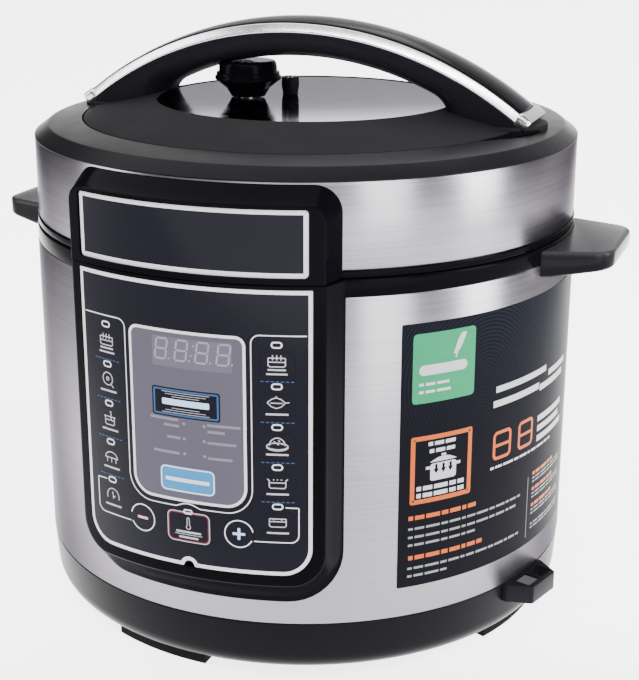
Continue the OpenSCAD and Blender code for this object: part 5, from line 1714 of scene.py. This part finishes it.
class COOKER_OT_vessel(bpy.types.Operator):
    """Inner pot, pressure housing, locking ring, pressure lid and sealing ring"""

    bl_idname = "cooker.vessel"
    bl_label = "Pressure Vessel"

    def execute(self, context):
        d = context.scene.cooker_lid
        low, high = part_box("inner_pot")
        rim = high.x
        wall = rim - 0.006
        inner = wall - 0.0018
        outside = filleted([
            (0.0, low.z, 0), (wall, low.z, 0.012), (wall, high.z - 0.002, 0.0012),
            (rim, high.z - 0.002, 0.0009), (rim, high.z, 0.0009), (inner, high.z, 0.0008),
            (inner, low.z + 0.003, 0.0102), (0.0, low.z + 0.003, 0),
        ], 8)
        obj = made("cooking_pot", Form().turned(outside, steps=192))
        seat(obj, "pot", "aluminium", ["steel_inner", "pot_coating"], ["inner_pot"])
        for face in obj.data.polygons:
            centre = face.center
            inside = math.hypot(centre.x, centre.y) < inner + 0.0004 and centre.z > low.z + 0.0029
            face.material_index = 1 if inside else 0

        low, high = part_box("pressure_housing")
        reach = wall + 0.002
        bowl = filleted([
            (0.0041, low.z + 0.006, 0), (reach + 0.0015, low.z + 0.006, 0.006),
            (reach + 0.0015, high.z - 0.0015, 0.001), (high.x, high.z - 0.0015, 0), (high.x, high.z, 0),
            (reach, high.z, 0.0015), (reach, low.z + 0.0075, 0.0045), (0.0041, low.z + 0.0075, 0),
        ], 8)
        obj = made("pressure_bowl", Form().turned(bowl, steps=192))
        nuts = Form()
        nut_top = low.z + 0.0062
        for x, y in screw_places():
            nuts.turned([(0.0021, low.z), (0.005, low.z), (0.005, nut_top), (0.0021, nut_top)], x, y, 32)
        seat(obj, "housing", "aluminium", replaces=["pressure_housing"])
        seat(made("bowl_nuts", nuts), "housing", "aluminium")

        low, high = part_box("locking_ring")
        out = high.x
        inside = out - 0.005
        ring = Form().turned(filleted([
            (inside, low.z, 0), (out, low.z, 0), (out, high.z, 0.0006), (inside, high.z, 0.0006),
        ]), steps=192)
        lug_low = d.liner_top - 0.021
        lug_top = lug_low + 0.003
        root = inside + 0.0005
        tip = inside - LUG_REACH
        lug = filleted(
            [(tip, lug_low, 0.0006), (root, lug_low, 0), (root, lug_top, 0), (tip, lug_top, 0.0006)]
        )
        for first, last in lug_turns():
            ring.swung(lug, first, last, 12)
        seat(made("bayonet_ring", ring), "housing", "steel_inner", replaces=["locking_ring"])

        low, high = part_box("lid_liner")
        lug_r = high.x
        r = lug_r - LUG_REACH + 0.0002
        top = high.z
        edge = low.z
        dish = filleted([
            (0.0, top - 0.0015, 0), (r - 0.010, top - 0.0015, 0.0005), (r - 0.010, edge + 0.0073, 0.0005),
            (r - 0.0085, edge + 0.0073, 0.0005), (r - 0.0085, top - 0.0015, 0.001),
            (r - 0.0015, top - 0.0015, 0.003), (r - 0.0015, edge, 0.0004), (r, edge, 0.0004),
            (r, top, 0.003), (0.0, top, 0),
        ])
        obj = made("pressure_lid", Form().turned(dish, steps=192))
        holes = Form().upright(circle(d.pipe_x, 0, d.pipe_r + 0.0001, 48), 0.20, 0.23)
        holes.upright(circle(d.float_x, d.float_y, 0.003, 32), 0.20, 0.23)
        cut(obj, holes)
        seat(obj, "lid", "steel_inner", replaces=["lid_liner"])
        lugs = Form()
        root = r - 0.001
        tab_low = edge + 0.0004
        tab_top = edge + 0.0025
        tab = filleted(
            [(root, tab_low, 0), (lug_r, tab_low, 0.0005), (lug_r, tab_top, 0.0005), (root, tab_top, 0)]
        )
        for first, last in lug_turns():
            lugs.swung(tab, first, last, 12)
        seat(made("bayonet_lugs", lugs), "lid", "steel_inner")

        low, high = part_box("sealing_ring")
        out = high.x
        inside = out - 0.0092
        seal = filleted([
            (inside + 0.003, low.z, 0.001), (out, low.z, 0.0008), (out, high.z, 0.0006),
            (inside + 0.002, high.z, 0.0004), (inside, high.z - 0.0015, 0.0004),
            (inside, low.z + 0.0025, 0.0005), (inside + 0.0014, low.z + 0.0025, 0.0004),
            (inside + 0.0024, low.z + 0.0042, 0.0004), (inside + 0.0045, low.z + 0.0042, 0.0004),
            (inside + 0.0045, low.z + 0.0016, 0.0004),
        ])
        turned_piece("silicone_seal", seal, "lid_seal", "silicone", ["sealing_ring"])
        return {"FINISHED"}


CAD_FINISHES = {
    "heating_plate": "aluminium", "temperature_sensor": "steel_inner", "sensor_spring": "steel_inner",
    "pressure_switch": "dark_component", "thermal_fuse": "silicone", "power_board": "circuit_board",
    "housing_screws": "steel_inner", "display_module": "dark_component", "control_board": "circuit_board",
    "key_switches": "dark_component", "float_valve": "chrome", "anti_block_shield": "steel_inner",
    "handle_screws": "steel_inner",
}


class COOKER_OT_hidden_parts(bpy.types.Operator):
    """Finishes of the small inner parts that keep their frame shape"""

    bl_idname = "cooker.hidden_parts"
    bl_label = "Inner Parts"

    def execute(self, context):
        for name, finish in CAD_FINISHES.items():
            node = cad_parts[name]
            node.data.materials.clear()
            node.data.materials.append(FINISHES[finish])
        return {"FINISHED"}


class COOKER_PT_panel(bpy.types.Panel):
    """Buttons that build the cooker piece by piece"""

    bl_idname = "COOKER_PT_panel"
    bl_label = "Electric Pressure Cooker"
    bl_space_type = "VIEW_3D"
    bl_region_type = "UI"
    bl_category = "Cooker"

    def draw(self, context):
        for builder in BUILDERS:
            self.layout.operator(builder.bl_idname)


class COOKER_OT_stage(bpy.types.Operator):
    """Pale floor that glows with a painted pool of light, soft lights and camera"""

    bl_idname = "cooker.stage"
    bl_label = "Stage"

    def execute(self, context):
        s = context.scene.cooker_stage
        half = s.floor / 2
        profile = [(-half, 0.0)]
        profile += arc_points(half * 0.6, half * 0.5, half * 0.5, -math.pi / 2, 0, 16)
        profile += [(half * 1.1, half)]
        form = Form()
        for x in (-half, half):
            form.verts += [(x, y, z) for y, z in profile]
        n = len(profile)
        for i in range(n - 1):
            form.face(i, n + i, n + i + 1, i + 1)
        floor = made("studio_floor", form, True)
        soften(floor.data, 60)
        paint = Finish("glowing studio paper", (0.86, 0.86, 0.86), 0.8, Emission_Strength=4.2)
        x, y, z = paint.axes()
        across = x * math.cos(s.azimuth) + y * math.sin(s.azimuth)
        along = y * math.cos(s.azimuth) - x * math.sin(s.azimuth)
        spread = (across * across) ** 0.5 - along * 0.24
        # The floor glows: a painted pool of light under, beside and behind the cooker, fading up the
        # backdrop, a bright band far in front of it, and a dim glow elsewhere.
        pool = along.ramp(-0.34, -0.05) * spread.ramp(0.75, 0.28) * z.ramp(0.75, 0.35)
        glow = pool + along.ramp(-0.62, -0.8) * 0.7
        paint.set("Emission Color", paint.mix(glow, (0.07, 0.07, 0.07), (1.0, 1.0, 1.0)))
        paint.set("Roughness", paint.noise(8.0, 3.0) * 0.1 + 0.75)
        floor.data.materials.append(paint.material)

        world = bpy.data.worlds.new("studio")
        context.scene.world = world
        world.use_nodes = True
        sky = world.node_tree.nodes["Background"].inputs
        sky["Color"].default_value = (1.0, 1.0, 1.0, 1.0)
        sky["Strength"].default_value = 0.15

        def softbox(name, place, aim, width, height, power):
            light = bpy.data.lights.new(name, "AREA")
            light.shape = "RECTANGLE"
            light.size = width
            light.size_y = height
            light.energy = power
            lamp = bpy.data.objects.new(name, light)
            context.scene.collection.objects.link(lamp)
            lamp.location = place
            lamp.rotation_mode = "QUATERNION"
            lamp.rotation_quaternion = (Vector(aim) - Vector(place)).to_track_quat("-Z", "Y")

        softbox("overhead_softbox", (-0.5, 0.6, 2.0), (0, 0.2, 0.0), 3.0, 2.0, 50)
        softbox("high_front_softbox", (0.5, -1.25, 1.2), (0, 0, 0.25), 1.8, 1.1, 11)
        softbox("strip_light", (0.0, -1.1, 1.5), (0, 0, 0.2), 1.6, 0.05, 16)
        softbox("left_softbox", (-1.26, -0.61, 0.7), (0, 0, 0.15), 0.5, 1.4, 14)
        softbox("front_softbox", (1.10, -0.86, 0.7), (0, 0, 0.15), 0.5, 1.4, 17)
        softbox("right_softbox", (1.40, 0.07, 0.7), (0, 0, 0.15), 0.45, 1.4, 30)

        target = Vector((0.0, 0.0, s.aim))
        back = Vector((
            math.sin(s.azimuth) * math.cos(s.elevation), -math.cos(s.azimuth) * math.cos(s.elevation),
            math.sin(s.elevation),
        ))
        data = bpy.data.cameras.new("camera")
        data.lens = s.lens
        data.sensor_width = 36.0
        data.shift_x = 0.0195
        data.shift_y = -0.006
        data.clip_start = 0.05
        data.clip_end = 50.0
        camera = bpy.data.objects.new("camera", data)
        context.scene.collection.objects.link(camera)
        camera.location = target + back * s.distance
        camera.rotation_mode = "QUATERNION"
        camera.rotation_quaternion = (-back).to_track_quat("-Z", "Y")
        context.scene.camera = camera
        return {"FINISHED"}


GROUPS = (
    ("cooker_body", BodySizes), ("cooker_lid", LidSizes), ("cooker_handles", HandleSizes),
    ("cooker_panel", PanelSizes), ("cooker_label", LabelSizes), ("cooker_fittings", FittingSizes),
    ("cooker_stage", StageSizes),
)
BUILDERS = (
    COOKER_OT_body, COOKER_OT_side_handles, COOKER_OT_fittings, COOKER_OT_vessel, COOKER_OT_lid,
    COOKER_OT_lid_fittings, COOKER_OT_arched_handle, COOKER_OT_panel, COOKER_OT_name_plate,
    COOKER_OT_prints, COOKER_OT_side_label, COOKER_OT_hidden_parts, COOKER_OT_stage,
)


def register():
    for name, group in GROUPS:
        bpy.utils.register_class(group)
        setattr(bpy.types.Scene, name, PointerProperty(type=group))
    for builder in BUILDERS:
        bpy.utils.register_class(builder)
    bpy.utils.register_class(COOKER_PT_panel)


def unregister():
    bpy.utils.unregister_class(COOKER_PT_panel)
    for builder in reversed(BUILDERS):
        bpy.utils.unregister_class(builder)
    for name, group in reversed(GROUPS):
        delattr(bpy.types.Scene, name)
        bpy.utils.unregister_class(group)


def main():
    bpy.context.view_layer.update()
    register()
    make_finishes()
    bpy.ops.cooker.body()
    bpy.ops.cooker.side_handles()
    bpy.ops.cooker.fittings()
    bpy.ops.cooker.vessel()
    bpy.ops.cooker.lid()
    bpy.ops.cooker.lid_fittings()
    bpy.ops.cooker.arched_handle()
    bpy.ops.cooker.panel()
    bpy.ops.cooker.name_plate()
    bpy.ops.cooker.prints()
    bpy.ops.cooker.side_label()
    bpy.ops.cooker.hidden_parts()
    bpy.ops.cooker.stage()


if __name__ == "__main__":
    main()
